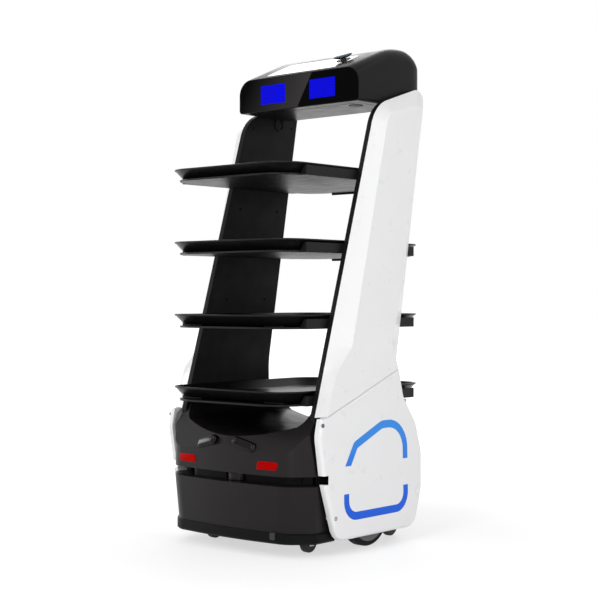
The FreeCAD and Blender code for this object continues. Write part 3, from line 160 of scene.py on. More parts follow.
def lit(name, tone, glow, strength, cells=None):
    """A lit panel. Where cells is given, it is an array of small lamps that many to a metre."""
    finish = Finish(name)
    finish.set(Base_Color=colour(*tone), Roughness=0.3, Emission_Strength=strength, Specular_IOR_Level=0.03)
    if cells is None:
        finish.links.new(finish.blend(finish.noise(9, 3), colour(*glow),
                                      tuple(value * 0.9 for value in colour(*glow)[:3]) + (1,)),
                         finish.shader.inputs["Emission Color"])
        return finish.material
    split = finish.nodes.new("ShaderNodeSeparateXYZ")
    finish.links.new(finish.place, split.inputs["Vector"])
    factor = None
    for axis in ("X", "Z"):
        wave = finish.nodes.new("ShaderNodeMath")
        wave.operation = "MULTIPLY"
        wave.inputs[1].default_value = cells * math.pi
        finish.links.new(split.outputs[axis], wave.inputs[0])
        sine = finish.nodes.new("ShaderNodeMath")
        sine.operation = "SINE"
        finish.links.new(wave.outputs[0], sine.inputs[0])
        size = finish.nodes.new("ShaderNodeMath")
        size.operation = "ABSOLUTE"
        finish.links.new(sine.outputs[0], size.inputs[0])
        soft = finish.nodes.new("ShaderNodeMapRange")
        soft.inputs["From Min"].default_value = 0.05
        soft.inputs["From Max"].default_value = 0.6
        soft.interpolation_type = "SMOOTHSTEP"
        finish.links.new(size.outputs[0], soft.inputs["Value"])
        if factor is None:
            factor = soft.outputs["Result"]
        else:
            both = finish.nodes.new("ShaderNodeMath")
            both.operation = "MULTIPLY"
            finish.links.new(factor, both.inputs[0])
            finish.links.new(soft.outputs["Result"], both.inputs[1])
            factor = both.outputs[0]
    dim = tuple(value * 0.55 for value in colour(*glow)[:3]) + (1,)
    finish.links.new(finish.blend(factor, dim, colour(*glow)), finish.shader.inputs["Emission Color"])
    return finish.material


def ramped(finish, axis, low, high, below, above):
    """Base colour that changes along one axis of the object, from below at low to above at high."""
    split = finish.nodes.new("ShaderNodeSeparateXYZ")
    finish.links.new(finish.place, split.inputs["Vector"])
    height = finish.nodes.new("ShaderNodeMapRange")
    height.inputs["From Min"].default_value = low
    height.inputs["From Max"].default_value = high
    finish.links.new(split.outputs[axis], height.inputs["Value"])
    return finish.blend(height.outputs["Result"], colour(*below), colour(*above))


def blue_strip():
    """The light strips in the covers, paler towards the top."""
    finish = Finish("strip_blue")
    tone = ramped(finish, "Z", 0.13, 0.30, (22, 88, 205), (52, 132, 216))
    finish.links.new(tone, finish.shader.inputs["Base Color"])
    finish.links.new(tone, finish.shader.inputs["Emission Color"])
    finish.links.new(finish.spread(finish.noise(60, 3), 0.3, 0.42), finish.shader.inputs["Roughness"])
    finish.bump(finish.noise(900, 2), 0.00001)
    finish.shader.inputs["Specular IOR Level"].default_value = 0.15
    finish.shader.inputs["Emission Strength"].default_value = 0.12
    return finish.material


REFLECTION_EDGE_X, REFLECTION_EDGE_Z = 0.052, 1.240      # top of the slanting edge of the painted reflection
REFLECTION_SLANT = 0.589                           # how far it moves along X for each step up
REFLECTION_FADE = 0.22                             # how far from the edge the painted reflection fades out


def face_gloss():
    """Black gloss over the face with a painted reflection: dark grey on one side of a slanting edge, fading
    away from it, black on the other.
    """
    finish = Finish("face_gloss")
    split = finish.nodes.new("ShaderNodeSeparateXYZ")
    finish.links.new(finish.place, split.inputs["Vector"])
    slant = finish.nodes.new("ShaderNodeMath")        # how far along X a point is from the slanting edge
    slant.operation = "MULTIPLY_ADD"
    slant.inputs[1].default_value = -REFLECTION_SLANT
    finish.links.new(split.outputs["Z"], slant.inputs[0])
    finish.links.new(split.outputs["X"], slant.inputs[2])
    edge = finish.nodes.new("ShaderNodeMath")
    edge.operation = "SUBTRACT"
    edge.inputs[1].default_value = REFLECTION_EDGE_X - REFLECTION_SLANT * REFLECTION_EDGE_Z
    finish.links.new(slant.outputs[0], edge.inputs[0])
    painted_reflection_fade = finish.nodes.new("ShaderNodeMapRange")
    painted_reflection_fade.inputs["From Min"].default_value = -REFLECTION_FADE
    painted_reflection_fade.inputs["From Max"].default_value = 0.0
    finish.links.new(edge.outputs[0], painted_reflection_fade.inputs["Value"])
    side = finish.nodes.new("ShaderNodeMath")
    side.operation = "LESS_THAN"
    side.inputs[1].default_value = 0.0
    finish.links.new(edge.outputs[0], side.inputs[0])
    share = finish.nodes.new("ShaderNodeMath")
    share.operation = "MULTIPLY"
    finish.links.new(painted_reflection_fade.outputs["Result"], share.inputs[0])
    finish.links.new(side.outputs[0], share.inputs[1])
    # painted reflection: dark grey at the slanting edge, fading to black away from it, and black past the
    # edge
    finish.links.new(finish.blend(share.outputs[0], colour(4, 4, 5), colour(56, 54, 54)),
                     finish.shader.inputs["Base Color"])
    finish.links.new(finish.spread(finish.noise(30, 3), 0.05, 0.09), finish.shader.inputs["Roughness"])
    finish.bump(finish.noise(300, 2), 0.000001)
    finish.shader.inputs["Specular IOR Level"].default_value = 0.02
    return finish.material


finishes = {
    "frame_black": plastic("powder_coat_black", (15, 14, 15), 0.5, 0.00004, 2600, specular=0.12),
    "cover_white": plastic("cover_white", (228, 228, 229), 0.3, 0.00001, 900, coat=0.1, specular=0.3),
    "strip_blue": blue_strip(),
    "shelf_black": plastic("shelf_black", (14, 13, 14), 0.4, 0.00004, 2600, specular=0.16),
    "tray_black": plastic("tray_black", (10, 10, 10), 0.32, 0.00006, 1800, specular=0.17),
    "base_black": plastic("base_black", (26, 23, 23), 0.34, 0.00003, 1500, specular=0.14),
    "bumper_black": plastic("bumper_rubber", (9, 8, 8), 0.45, 0.00005, 1500, specular=0.08),
    "deck_steel": metal("deck_steel", (110, 110, 112), 0.4, (1, 20, 1)),
    "lamp_red": lit("lamp_red", (160, 0, 0), (150, 0, 0), 0.08),
    "camera_glass": plastic("camera_glass", (6, 6, 7), 0.14, 0.000002, 900, specular=0.16),
    "lidar_black": plastic("lidar_black", (12, 12, 13), 0.25, 0.000005, 900, specular=0.2),
    "motor_metal": metal("motor_cast", (170, 170, 174), 0.5, grain=0.00005),
    "hub_grey": plastic("hub_grey", (96, 96, 98), 0.5),
    "tyre_rubber": plastic("tyre_rubber", (24, 23, 23), 0.75, 0.00015, 600, specular=0.15),
    "fork_steel": metal("fork_zinc", (176, 176, 174), 0.32, (1, 1, 14)),
    "caster_grey": plastic("caster_grey", (52, 52, 54), 0.6, 0.00008, 700, specular=0.2),
    "battery_case": plastic("battery_case", (72, 72, 76), 0.55),
    "port_black": plastic("port_black", (8, 8, 8), 0.45, specular=0.08),
    "contact_metal": metal("contact_brass", (214, 180, 110), 0.3, (30, 1, 1)),
    "button_grey": plastic("button_grey", (120, 122, 126), 0.4),
    "head_black": plastic("head_black", (30, 28, 28), 0.3, 0.00002, 1500, specular=0.06),
    # the face's finish has a reflection painted into its base colour
    "face_gloss": face_gloss(),
    "eye_blue": lit("eye_blue", (0, 0, 6), (4, 4, 240), 1.0, cells=145),
    "panel_gloss": plastic("panel_gloss", (10, 10, 11), 0.1, 0.000001, 300, coat=0.3, specular=0.4),
    "screen_glass": plastic("screen_glass", (26, 28, 32), 0.06, 0.000001, 300, coat=0.6, specular=0.5),
    "stop_base": plastic("stop_base", (22, 22, 24), 0.4, specular=0.2),
    "stop_cap": plastic("stop_cap", (26, 50, 60), 0.26, 0.00001, 900, coat=0.3, specular=0.3),
}

# nodes that show another finish than the one their slot is named after
OTHER_FINISH = {"slot_core": "port_black", "head_lens": "port_black", "top_panel": "panel_gloss"}


def dress(obj, slot):
    obj.data.materials.clear()
    obj.data.materials.append(finishes[slot])


for name, obj in nodes.items():
    dress(obj, OTHER_FINISH.get(name, slot_of_node[name]))


# ---- pieces made from the solids, with their edges eased --------------------

BOSS_PLACE = (0.158, 1.112)         # a cable boss on each frame, which stands too proud to show
BOSS_REACH = 0.040
BOSS_OUTER_X = 0.2188               # the boss is all that lies nearer the middle than this
SAME_PLACE = 0.00002                # vertices nearer than this are joined
SHARP = math.radians(28)            # an edge that turns by more than this is sharp
EASED_FLAT = math.radians(0.6)      # faces that turn by less than this become one
CARVED_FLAT = math.radians(0.4)


def soften(piece, width):
    """Rounds the sharp edges of a piece."""
    edges = piece.modifiers.new("eased_edges", "BEVEL")
    edges.width = width
    edges.segments = 3
    edges.limit_method = "ANGLE"
    edges.angle_limit = SHARP
    edges.harden_normals = True


def eased(node, width):
    """A copy of a CAD solid whose sharp edges are rounded, shown in its place."""
    mesh = nodes[node].data.copy()
    piece = bpy.data.objects.new(node + "_eased", mesh)
    bpy.context.scene.collection.objects.link(piece)
    work = bmesh.new()
    work.from_mesh(mesh)
    bmesh.ops.remove_doubles(work, verts=work.verts, dist=SAME_PLACE)
    if node.startswith("side_frame"):
        boss = [vert for vert in work.verts
                if abs(vert.co.x) < BOSS_OUTER_X and math.dist(vert.co[1:], BOSS_PLACE) < BOSS_REACH]
        bmesh.ops.delete(work, geom=boss, context="VERTS")
        bmesh.ops.holes_fill(work, edges=[edge for edge in work.edges if edge.is_boundary], sides=0)
    bmesh.ops.dissolve_limit(work, angle_limit=EASED_FLAT, verts=work.verts, edges=work.edges)
    for face in work.faces:
        face.smooth = True
    for edge in work.edges:
        edge.smooth = len(edge.link_faces) == 2 and edge.calc_face_angle(0) < SHARP
    work.to_mesh(mesh)
    work.free()
    soften(piece, width)
    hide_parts(node)
    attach(piece, body_of_node[node])
    dress(piece, OTHER_FINISH.get(node, slot_of_node[node]))


# how wide the edges are rounded, by how the node's name starts
EASED = {
    "side_frame": 0.0012,
    "outer_cover": 0.004,
    "lower_cover": 0.0012,
    "shelf": 0.0012,
    "front_skirt": 0.002,
    "front_bumper": 0.002,
    "head_base": 0.0006,
    "rear_cover": 0.0015,
    "top_panel": 0.0005,
    "charge_port": 0.0006,
    "tyre": 0.002,
    "wheel_hub": 0.001,
    "caster_fork": 0.0008,
    "caster_wheel": 0.0015,
    "power_button": 0.0008,
    "lidar_rotor": 0.001,
}
for name in sorted(nodes):
    for start, width in EASED.items():
        if name.startswith(start):
            eased(name, width)
            break


# ---- outlines and lofts ------------------------------------------------------

CORNER_STEPS = 12


def rounded(corners, steps=CORNER_STEPS):
    """A closed outline of points (a, b), from corners (a, b) or, where rounded, (a, b, radius)."""
    points = []
    for index, corner in enumerate(corners):
        here = Vector(corner[:2])
        if len(corner) == 2:
            points.append(here)
            continue
        before = (Vector(corners[index - 1][:2]) - here).normalized()
        after = (Vector(corners[(index + 1) % len(corners)][:2]) - here).normalized()
        half = before.angle(after) / 2
        centre = here + (before + after).normalized() * corner[2] / math.sin(half)
        first = here + before * corner[2] / math.tan(half) - centre
        last = here + after * corner[2] / math.tan(half) - centre
        turn = first.angle_signed(last)
        for step in range(steps + 1):
            points.append(centre + Matrix.Rotation(-turn * step / steps, 2) @ first)
    return points


def mirrored(half):
    """A whole outline from the half with X above 0, whose first corner may lie on X = 0."""
    other = [(-corner[0],) + tuple(corner[1:]) for corner in reversed(half) if corner[0] > 0]
    return list(half) + other


def new_piece(name, work, slot, body, smooth=35):
    """A piece from a bmesh, with its finish, its body and its soft and sharp edges."""
    bmesh.ops.recalc_face_normals(work, faces=work.faces)
    mesh = bpy.data.meshes.new(name)
    work.to_mesh(mesh)
    work.free()
    mesh.shade_smooth()
    mesh.set_sharp_from_angle(angle=math.radians(smooth))
    piece = bpy.data.objects.new(name, mesh)
    bpy.context.scene.collection.objects.link(piece)
    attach(piece, body)
    dress(piece, slot)
    return piece


def loft(rings, closed=False):
    """A bmesh through rings of equal numbers of points: its ends filled, or joined where closed."""
    work = bmesh.new()
    rows = [[work.verts.new(point) for point in ring] for ring in rings]
    for below, above in zip(rows, rows[1:] + rows[:1] if closed else rows[1:]):
        for index in range(len(below)):
            following = (index + 1) % len(below)
            work.faces.new((below[index], below[following], above[following], above[index]))
    if not closed:
        work.faces.new(rows[0])
        work.faces.new(rows[-1])
    return work


def turned(profile, place, along, steps=48, closed=False):
    """A bmesh turned from (radius, distance) about the line from place along a direction."""
    spin = Vector(along).to_track_quat("Z", "Y")
    return loft([[Vector(place) + spin @ Vector((radius * math.cos(math.tau * step / steps),
                                                 radius * math.sin(math.tau * step / steps), rise))
                  for step in range(steps)] for radius, rise in profile], closed)


def carved(piece, *cutters):
    """Takes away from a piece the bmesh of each cutter."""
    for work in cutters:
        bmesh.ops.recalc_face_normals(work, faces=work.faces)
        mesh = bpy.data.meshes.new("cutter")
        work.to_mesh(mesh)
        work.free()
        cutter = bpy.data.objects.new("cutter", mesh)
        bpy.context.scene.collection.objects.link(cutter)
        taking = piece.modifiers.new("cut", "BOOLEAN")
        taking.object = cutter
        taking.solver = "EXACT"
        shape = bpy.data.meshes.new_from_object(piece.evaluated_get(bpy.context.evaluated_depsgraph_get()))
        piece.modifiers.remove(taking)
        bpy.data.objects.remove(cutter)
        piece.data = shape
    work = bmesh.new()
    work.from_mesh(piece.data)
    bmesh.ops.remove_doubles(work, verts=work.verts, dist=SAME_PLACE)
    bmesh.ops.dissolve_limit(work, angle_limit=CARVED_FLAT, verts=work.verts, edges=work.edges)
    work.to_mesh(piece.data)
    work.free()
    piece.data.shade_smooth()
    piece.data.set_sharp_from_angle(angle=SHARP)


# ---- trays --------------------------------------------------------------------

TRAY_HALF_WIDE = 0.2145
TRAY_HALF_LONG = 0.292
TRAY_CORNER = 0.076
TRAY_LOW_RIM = 0.4108
TRAY_STEP = 0.1882
TRAY_PROFILE = (                     # how far in from the rim and below it, from below to the inside
    (0.0270, -0.0268), (0.0250, -0.0270), (0.0235, -0.0262), (0.0045, -0.0058), (0.0012, -0.0042),
    (0.0003, -0.0036), (0.0, -0.0026), (0.0, -0.0010), (0.0003, -0.0003), (0.0010, 0.0),
    (0.0028, 0.0), (0.0036, -0.0004), (0.0046, -0.0014), (0.0240, -0.0216), (0.0262, -0.0232),
    (0.0290, -0.0240), (0.0330, -0.0242),
)

TRAY_LEVELS = 4
TRAY_CORNER_STEPS = 16

for level in range(TRAY_LEVELS):
    rim = TRAY_LOW_RIM + TRAY_STEP * level
    rings = []
    for inward, rise in TRAY_PROFILE:
        wide, long, corner = TRAY_HALF_WIDE - inward, TRAY_HALF_LONG - inward, TRAY_CORNER - inward
        corners = [(wide, -long, corner), (wide, long, corner), (-wide, long, corner), (-wide, -long, corner)]
        rings.append([(x, y, rim + rise) for x, y in rounded(corners, TRAY_CORNER_STEPS)])
    tray = new_piece("tray_form_%d" % (level + 1), loft(rings), "tray_black",
                     "tray_body_%d" % (level + 1), 50)
    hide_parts("tray_%d" % (level + 1))


# ---- head ---------------------------------------------------------------------

HEAD_HALF = 0.213
HEAD_FOOT = 0.010
FACE_INSET = 0.0022
HEAD_SECTIONS = (                    # Y, underside, top, rounding of the top's sides, drawn in at the sides
    (-0.0020, 1.1504, 1.2420, 0.042, 0.0),
    (0.1280, 1.1504, 1.2970, 0.042, 0.0),
    (0.1450, 1.1504, 1.3032, 0.042, 0.0),
    (0.1650, 1.1504, 1.3086, 0.042, 0.0),
    (0.1850, 1.1504, 1.3118, 0.042, 0.0),
    (0.2050, 1.1520, 1.3130, 0.042, 0.0),
    (0.2200, 1.1560, 1.3122, 0.042, 0.0),
    (0.2350, 1.1640, 1.3086, 0.042, 0.001),
    (0.2480, 1.1740, 1.3020, 0.040, 0.003),
    (0.2580, 1.1860, 1.2926, 0.036, 0.006),
    (0.2650, 1.1990, 1.2810, 0.030, 0.011),
    (0.2685, 1.2130, 1.2680, 0.022, 0.018),
)


def head_ring(y, low, top, rounding, tuck, inward=0.0):
    half = HEAD_HALF - tuck - inward
    foot = HEAD_FOOT - inward
    rounding = rounding - inward
    return [(x, y, z) for x, z in rounded([
        (half, low + inward, foot), (half, top - inward, rounding),
        (-half, top - inward, rounding), (-half, low + inward, foot)])]


front = HEAD_SECTIONS[0]
rings = [head_ring(0.002, *front[1:], FACE_INSET), head_ring(*front, FACE_INSET),
         head_ring(*front, 0.0008), head_ring(front[0] + 0.0008, *front[1:])]
rings += [head_ring(*section) for section in HEAD_SECTIONS[1:]]
head = new_piece("head_form", loft(rings), "head_black", body_of_node["head_shell"])
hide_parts("head_shell")

SLOPE = math.atan2(front[2] - HEAD_SECTIONS[1][2], front[0] - HEAD_SECTIONS[1][0]) + math.pi
upward = Vector((0, -math.sin(SLOPE), math.cos(SLOPE)))
STOP_X, STOP_ALONG = 0.092, 0.092
stop_seat = Vector((STOP_X, front[0] + STOP_ALONG * math.cos(SLOPE),
                    front[2] + STOP_ALONG * math.sin(SLOPE)))
STOP_HOLE = 0.0080
STOP_HOLE_DEPTH, STOP_HOLE_RISE = 0.014, 0.010
STOP_COLLAR = (                      # radius, and height above the slope
    (STOP_HOLE, -0.002), (STOP_HOLE, 0.0008), (0.0175, 0.0009), (0.0182, 0.0020), (0.0198, 0.0020),
    (0.0204, 0.0012), (0.0204, -0.002),
)
STOP_CAP = (
    (0.0010, -0.0080), (0.0074, -0.0080), (0.0074, 0.0068), (0.0150, 0.0066), (0.0172, 0.0072),
    (0.0222, 0.0092), (0.0256, 0.0112), (0.0264, 0.0128), (0.0260, 0.0142), (0.0240, 0.0154),
    (0.0190, 0.0164), (0.0100, 0.0170), (0.0020, 0.0171),
)
carved(head, turned(((STOP_HOLE, -STOP_HOLE_DEPTH), (STOP_HOLE, STOP_HOLE_RISE)), stop_seat, upward, 32))
collar = new_piece("stop_collar_form", turned(STOP_COLLAR, stop_seat, upward, closed=True),
                   "stop_base", body_of_node["stop_collar"])
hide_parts("stop_collar")
cap = new_piece("stop_cap_form", turned(STOP_CAP, stop_seat, upward, 64),
                "stop_cap", body_of_node["stop_button"])
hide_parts("stop_button")


# ---- base shell ---------------------------------------------------------------

NOSE_Y = -0.285                      # plan of the shell, with each corner as X, Y and rounding
NOSE_ROUND = 1.2
CHEEK = (0.192, -0.269, 0.070)
JAW = (0.244, -0.212, 0.019)
STEP_Y = -0.2035
BASE_REAR_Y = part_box("base_upper_shell")[1].y
BASE_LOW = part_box("base_upper_shell")[0].z
BASE_TOP = 0.371
GAP_HALF = 0.2189
BROW_Z = 0.2684
BROW_LEAN = 0.743
BROW_SWEEP = 0.146
SIDE_LEAN_Z = 0.215                  # the sides lean in from here up
SIDE_LEAN = 0.105
BOWL_LENGTH = 0.8
BOWL_SECTION = (                     # X, Z and rounding of half the bowl, which ends clear above the shell
    (0, 0.2695, 0.62), (0.200, 0.324, 0.034), (0.2175, 0.372), (0.2175, 0.5),
)
HOLLOW_PLAN = ((0, -0.255), (0.177, -0.239), (0.205, -0.182), (0.205, BASE_REAR_Y - 0.012))
HOLLOW_TOP = 0.284
HOLLOW_UNDER = 0.01                  # how far the hollow's cutter reaches out below the shell

plan = rounded(mirrored([(0, NOSE_Y, NOSE_ROUND), CHEEK, JAW, (JAW[0], STEP_Y), (GAP_HALF, STEP_Y),
                         (GAP_HALF, BASE_REAR_Y)]))
work = loft([[(x, y, z) for x, y in plan] for z in (BASE_LOW, BASE_TOP)])
for side in (1, -1):
    brow = (Vector((0, NOSE_Y, BROW_Z)), Vector((side * BROW_SWEEP, -1, BROW_LEAN)))
    flank = (Vector((side * JAW[0], 0, SIDE_LEAN_Z)), Vector((side, 0, SIDE_LEAN)))
    for place, normal in (brow, flank):
        bmesh.ops.bisect_plane(work, geom=work.verts[:] + work.edges[:] + work.faces[:], plane_co=place,
                               plane_no=normal.normalized(), clear_outer=True, dist=0.000001)
        bmesh.ops.holes_fill(work, edges=[edge for edge in work.edges if edge.is_boundary], sides=0)
shell = new_piece("base_form", work, "base_black", body_of_node["base_upper_shell"])
bowl = rounded(mirrored(BOWL_SECTION), 24)
bowl = loft([[(x, y, z) for x, z in bowl] for y in (-BOWL_LENGTH / 2, BOWL_LENGTH / 2)])
hollow = rounded(mirrored(HOLLOW_PLAN))
hollow = loft([[(x, y, z) for x, y in hollow] for z in (BASE_LOW - HOLLOW_UNDER, HOLLOW_TOP)])
carved(shell, bowl, hollow)
soften(shell, 0.0025)
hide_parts("base_upper_shell")


# ---- cameras and lamps in the front of the base ---------------------------------

POD_LONG, POD_TALL = 0.076, 0.026
POD_MIDDLE = Vector((0.0650, -0.2745, 0.2740))
POD_TURN = math.radians(-14)
POD_EDGE = (                         # how far in from the outline, and how far out from the seat
    (0.0, -0.018), (0.0, 0.002), (0.0008, 0.0048), (0.0026, 0.0074), (0.0052, 0.0090), (0.0078, 0.0096),
)
LENS_IN, LENS_RISE = 0.0115, 0.0092  # the lens's place from the pod's inner end and its seat
LENS = (
    (0.0078, -0.001), (0.0078, 0.0012), (0.0070, 0.0018), (0.0058, 0.0016), (0.0050, 0.0008),
    (0.0036, 0.0014), (0.0018, 0.0018), (0.0004, 0.0019),
)
LAMP_OUTLINE = (                     # X, Z and rounding
    (0.106, 0.2168, 0.002), (0.165, 0.2168, 0.006), (0.1785, 0.2370, 0.007), (0.112, 0.2370, 0.002),
)
LAMP_MIDDLE_X, LAMP_MIDDLE_Z = 0.1425, 0.2269
LAMP_HALF_LONG, LAMP_HALF_TALL = 0.035, 0.0101
LAMP_EDGE = ((0.0, -0.010), (0.0, 0.0006), (0.0005, 0.0012), (0.0014, 0.0015))

for side, sign in SIDES:
    outward = Vector((0, -1, 0.42)).normalized()
    along = Vector((math.cos(POD_TURN), 0.08, math.sin(POD_TURN))).normalized()
    upright = along.cross(outward) * -1
    outline = rounded([(POD_LONG / 2, -POD_TALL / 2, 0.0075), (POD_LONG / 2 - 0.006, POD_TALL / 2, 0.009),
                       (-POD_LONG / 2, POD_TALL / 2, 0.009), (-POD_LONG / 2 + 0.004, -POD_TALL / 2, 0.009)])
    rings = []
    for inward, rise in POD_EDGE:
        scale_long, scale_tall = 1 - 2 * inward / POD_LONG, 1 - 2 * inward / POD_TALL
        rings.append([POD_MIDDLE + along * point.x * scale_long + upright * point.y * scale_tall
                      + outward * rise for point in outline])
    flip = Matrix.Diagonal((sign, 1, 1))
    pod = new_piece("camera_form_" + side, loft([[flip @ point for point in ring] for ring in rings]),
                    "camera_glass", body_of_node["front_camera_" + side], 50)
    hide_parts("front_camera_" + side)
    lens_seat = POD_MIDDLE - along * (POD_LONG / 2 - LENS_IN) + outward * LENS_RISE
    new_piece("camera_lens_" + side, turned(LENS, flip @ lens_seat, flip @ outward),
              "lidar_black", body_of_node["front_camera_" + side], 50)
    rings = []
    for inward, proud in LAMP_EDGE:
        ring = []
        for x, z in rounded(LAMP_OUTLINE):
            x = LAMP_MIDDLE_X + (x - LAMP_MIDDLE_X) * (1 - inward / LAMP_HALF_LONG)
            z = LAMP_MIDDLE_Z + (z - LAMP_MIDDLE_Z) * (1 - inward / LAMP_HALF_TALL)
            ring.append((sign * x, NOSE_Y + (CHEEK[1] - NOSE_Y) / CHEEK[0] * x - proud, z))
        rings.append(ring)
    lamp = new_piece("lamp_form_" + side, loft(rings), "lamp_red", body_of_node["brake_lamp_" + side])
    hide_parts("brake_lamp_" + side)


# ---- screws and other small things ------------------------------------------------

FRAME_GAP = 0.219
COVER_HALF = 0.2685
COVER_SCREW = (                      # radius, and height above the seat
    (0.0052, -0.002), (0.0052, 0.0002), (0.0046, 0.0007), (0.0030, 0.0008), (0.0024, 0.0), (0.0006, -0.0001),
)
COVER_SCREW_PLACES = ((-0.2115, 0.329), (-0.163, 0.097))
FRAME_SCREW = (
    (0.0046, -0.002), (0.0046, 0.0003), (0.0038, 0.0009), (0.0024, 0.0010), (0.0020, 0.0), (0.0006, -0.0001),
)
FRAME_SCREW_PLACES = (
    (-0.046, 0.637), (0.108, 0.637), (0.009, 0.888), (0.161, 0.888), (0.064, 1.118), (0.225, 1.131),
)
FRAME_RING = (
    (0.0190, -0.001), (0.0190, 0.0016), (0.0180, 0.0024), (0.0150, 0.0024), (0.0140, 0.0014),
    (0.0136, 0.0002), (0.0010, 0.0),
)
RING_Y, RING_Z = 0.169, 1.138

screws = 0
for side, sign in SIDES:
    for y, z in COVER_SCREW_PLACES:
        screws += 1
        screw = turned(COVER_SCREW, (sign * COVER_HALF, y, z), (sign, 0, 0), 24)
        new_piece("cover_screw_%d" % screws, screw, "hub_grey", "chassis")
    for y, z in FRAME_SCREW_PLACES:
        screws += 1
        screw = turned(FRAME_SCREW, (sign * FRAME_GAP, y, z), (-sign, 0, 0), 24)
        new_piece("frame_screw_%d" % screws, screw, "port_black", "chassis")
    ring = turned(FRAME_RING, (sign * FRAME_GAP, RING_Y, RING_Z), (-sign, 0, 0))
    new_piece("frame_ring_" + side, ring, "frame_black", "chassis")

CLIP_LEFT, CLIP_RIGHT = 0.1440, 0.1600
CLIP_LOW, CLIP_HIGH = 0.0450, 0.0625
CLIP_ROUND = 0.002
CLIP_BACK = 0.0085                   # the bumper's face lies this far back there
CLIP_DEEP, CLIP_PROUD = 0.012, 0.0016

clip = rounded([(CLIP_LEFT, CLIP_LOW, CLIP_ROUND), (CLIP_RIGHT, CLIP_LOW, CLIP_ROUND),
                (CLIP_RIGHT, CLIP_HIGH, CLIP_ROUND), (CLIP_LEFT, CLIP_HIGH, CLIP_ROUND)])
clip_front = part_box("front_bumper")[0].y + CLIP_BACK
rings = [[(x, clip_front + deep, z) for x, z in clip] for deep in (CLIP_DEEP, -CLIP_PROUD)]
new_piece("bumper_clip", loft(rings), "caster_grey", "bumper")


# ---- camera, floor and light -------------------------------------------------

VIEW_TURN = math.radians(41.19)       # the camera stands to the robot's front left
CAMERA_FAR = 3.6941
CAMERA_HIGH = 0.638
CAMERA_ASIDE = 0.0038
CAMERA_LENS = 83.04                 # mm, on a sensor 36 mm wide

camera = bpy.data.cameras.new("camera")
camera.lens = CAMERA_LENS
camera.sensor_width = 36
camera_object = bpy.data.objects.new("camera", camera)
bpy.context.scene.collection.objects.link(camera_object)
away = Vector((math.sin(VIEW_TURN), -math.cos(VIEW_TURN), 0))
aside = Vector((math.cos(VIEW_TURN), math.sin(VIEW_TURN), 0))
camera_object.location = CAMERA_FAR * away + CAMERA_ASIDE * aside + Vector((0, 0, CAMERA_HIGH))
camera_object.rotation_euler = (math.radians(90), 0, VIEW_TURN)
bpy.context.scene.camera = camera_object

world = bpy.data.worlds.new("studio")
world.use_nodes = True
bpy.context.scene.world = world


def seen_directly(tree):
    """1 for rays from the camera, off gloss or through glass, 0 for light falling on things."""
    path = tree.nodes.new("ShaderNodeLightPath")
    first = tree.nodes.new("ShaderNodeMath")
    first.operation = "MAXIMUM"
    tree.links.new(path.outputs["Is Camera Ray"], first.inputs[0])
    tree.links.new(path.outputs["Is Glossy Ray"], first.inputs[1])
    second = tree.nodes.new("ShaderNodeMath")
    second.operation = "MAXIMUM"
    tree.links.new(first.outputs[0], second.inputs[0])
    tree.links.new(path.outputs["Is Transmission Ray"], second.inputs[1])
    return second.outputs[0]


AMBIENT = 0.5
tree = world.node_tree
strength = tree.nodes.new("ShaderNodeMapRange")
strength.inputs["To Min"].default_value = AMBIENT
strength.inputs["To Max"].default_value = 1.0
tree.links.new(seen_directly(tree), strength.inputs["Value"])
background = tree.nodes["Background"]
background.inputs["Color"].default_value = (1, 1, 1, 1)
tree.links.new(strength.outputs["Result"], background.inputs["Strength"])

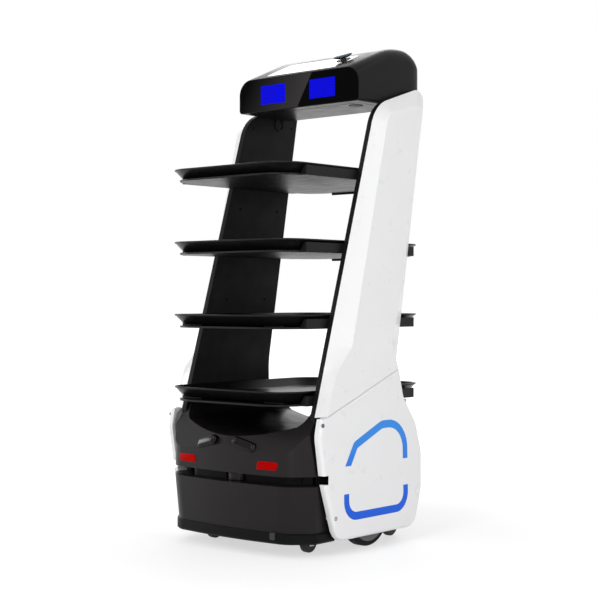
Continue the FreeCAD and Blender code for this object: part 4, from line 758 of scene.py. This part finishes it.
FLOOR_HALF = 30.0
FLOOR_GLOW = 1.3
FLOOR_SHARE = 0.45           # how much of the floor near the robot glows, so that its shadow shows
mesh = bpy.data.meshes.new("floor")
work = bmesh.new()
bmesh.ops.create_grid(work, x_segments=8, y_segments=8, size=FLOOR_HALF)
bmesh.ops.translate(work, verts=work.verts, vec=(0, 0, cad_box[0][2] - 0.0002))
work.to_mesh(mesh)
work.free()
floor = bpy.data.objects.new("floor", mesh)
bpy.context.scene.collection.objects.link(floor)
floor_material = bpy.data.materials.new("floor")
floor_material.use_nodes = True
tree = floor_material.node_tree
shader = tree.nodes["Principled BSDF"]
shader.inputs["Base Color"].default_value = (0.9, 0.9, 0.9, 1)
shader.inputs["Roughness"].default_value = 0.6
shader.inputs["Specular IOR Level"].default_value = 0.05
glow = tree.nodes.new("ShaderNodeEmission")
glow.inputs["Strength"].default_value = FLOOR_GLOW
place = tree.nodes.new("ShaderNodeTexCoord")
reach = tree.nodes.new("ShaderNodeVectorMath")
reach.operation = "LENGTH"
tree.links.new(place.outputs["Object"], reach.inputs[0])
spread = tree.nodes.new("ShaderNodeMapRange")
spread.interpolation_type = "SMOOTHSTEP"
spread.inputs["From Min"].default_value = 0.5
spread.inputs["From Max"].default_value = 1.6
spread.inputs["To Min"].default_value = FLOOR_SHARE
spread.inputs["To Max"].default_value = 1.0
tree.links.new(reach.outputs["Value"], spread.inputs["Value"])
mix = tree.nodes.new("ShaderNodeMixShader")
share = tree.nodes.new("ShaderNodeMath")
share.operation = "MULTIPLY"
tree.links.new(seen_directly(tree), share.inputs[0])
tree.links.new(spread.outputs["Result"], share.inputs[1])
tree.links.new(share.outputs[0], mix.inputs["Fac"])
tree.links.new(shader.outputs["BSDF"], mix.inputs[1])
tree.links.new(glow.outputs["Emission"], mix.inputs[2])
tree.links.new(mix.outputs["Shader"], tree.nodes["Material Output"].inputs["Surface"])
floor.data.materials.append(floor_material)


def softbox(name, place, aim, size, power):
    """A rectangular area light at a place, turned to face what it aims at."""
    light = bpy.data.lights.new(name, "AREA")
    light.shape = "RECTANGLE"
    light.size, light.size_y = size
    light.energy = power
    obj = bpy.data.objects.new(name, light)
    bpy.context.scene.collection.objects.link(obj)
    obj.location = place
    obj.rotation_euler = (Vector(aim) - Vector(place)).to_track_quat("-Z", "Y").to_euler()


softbox("key", (0.9, -3.3, 2.2), (0, 0, 0.6), (1.2, 1.8), 40)
softbox("strip", (2.5, -2.9, 0.8), (0, 0, 0.5), (0.35, 1.3), 17)
softbox("side", (3.4, -0.4, 1.6), (0, 0, 0.6), (1.2, 2.4), 27)
softbox("fill", (-3.4, -1.3, 0.9), (0, 0, 0.4), (1.4, 1.2), 30)
softbox("back", (-2.2, 2.6, 2.6), (0, 0, 0.8), (2.2, 2.2), 30)

bpy.context.scene.view_settings.view_transform = "Standard"
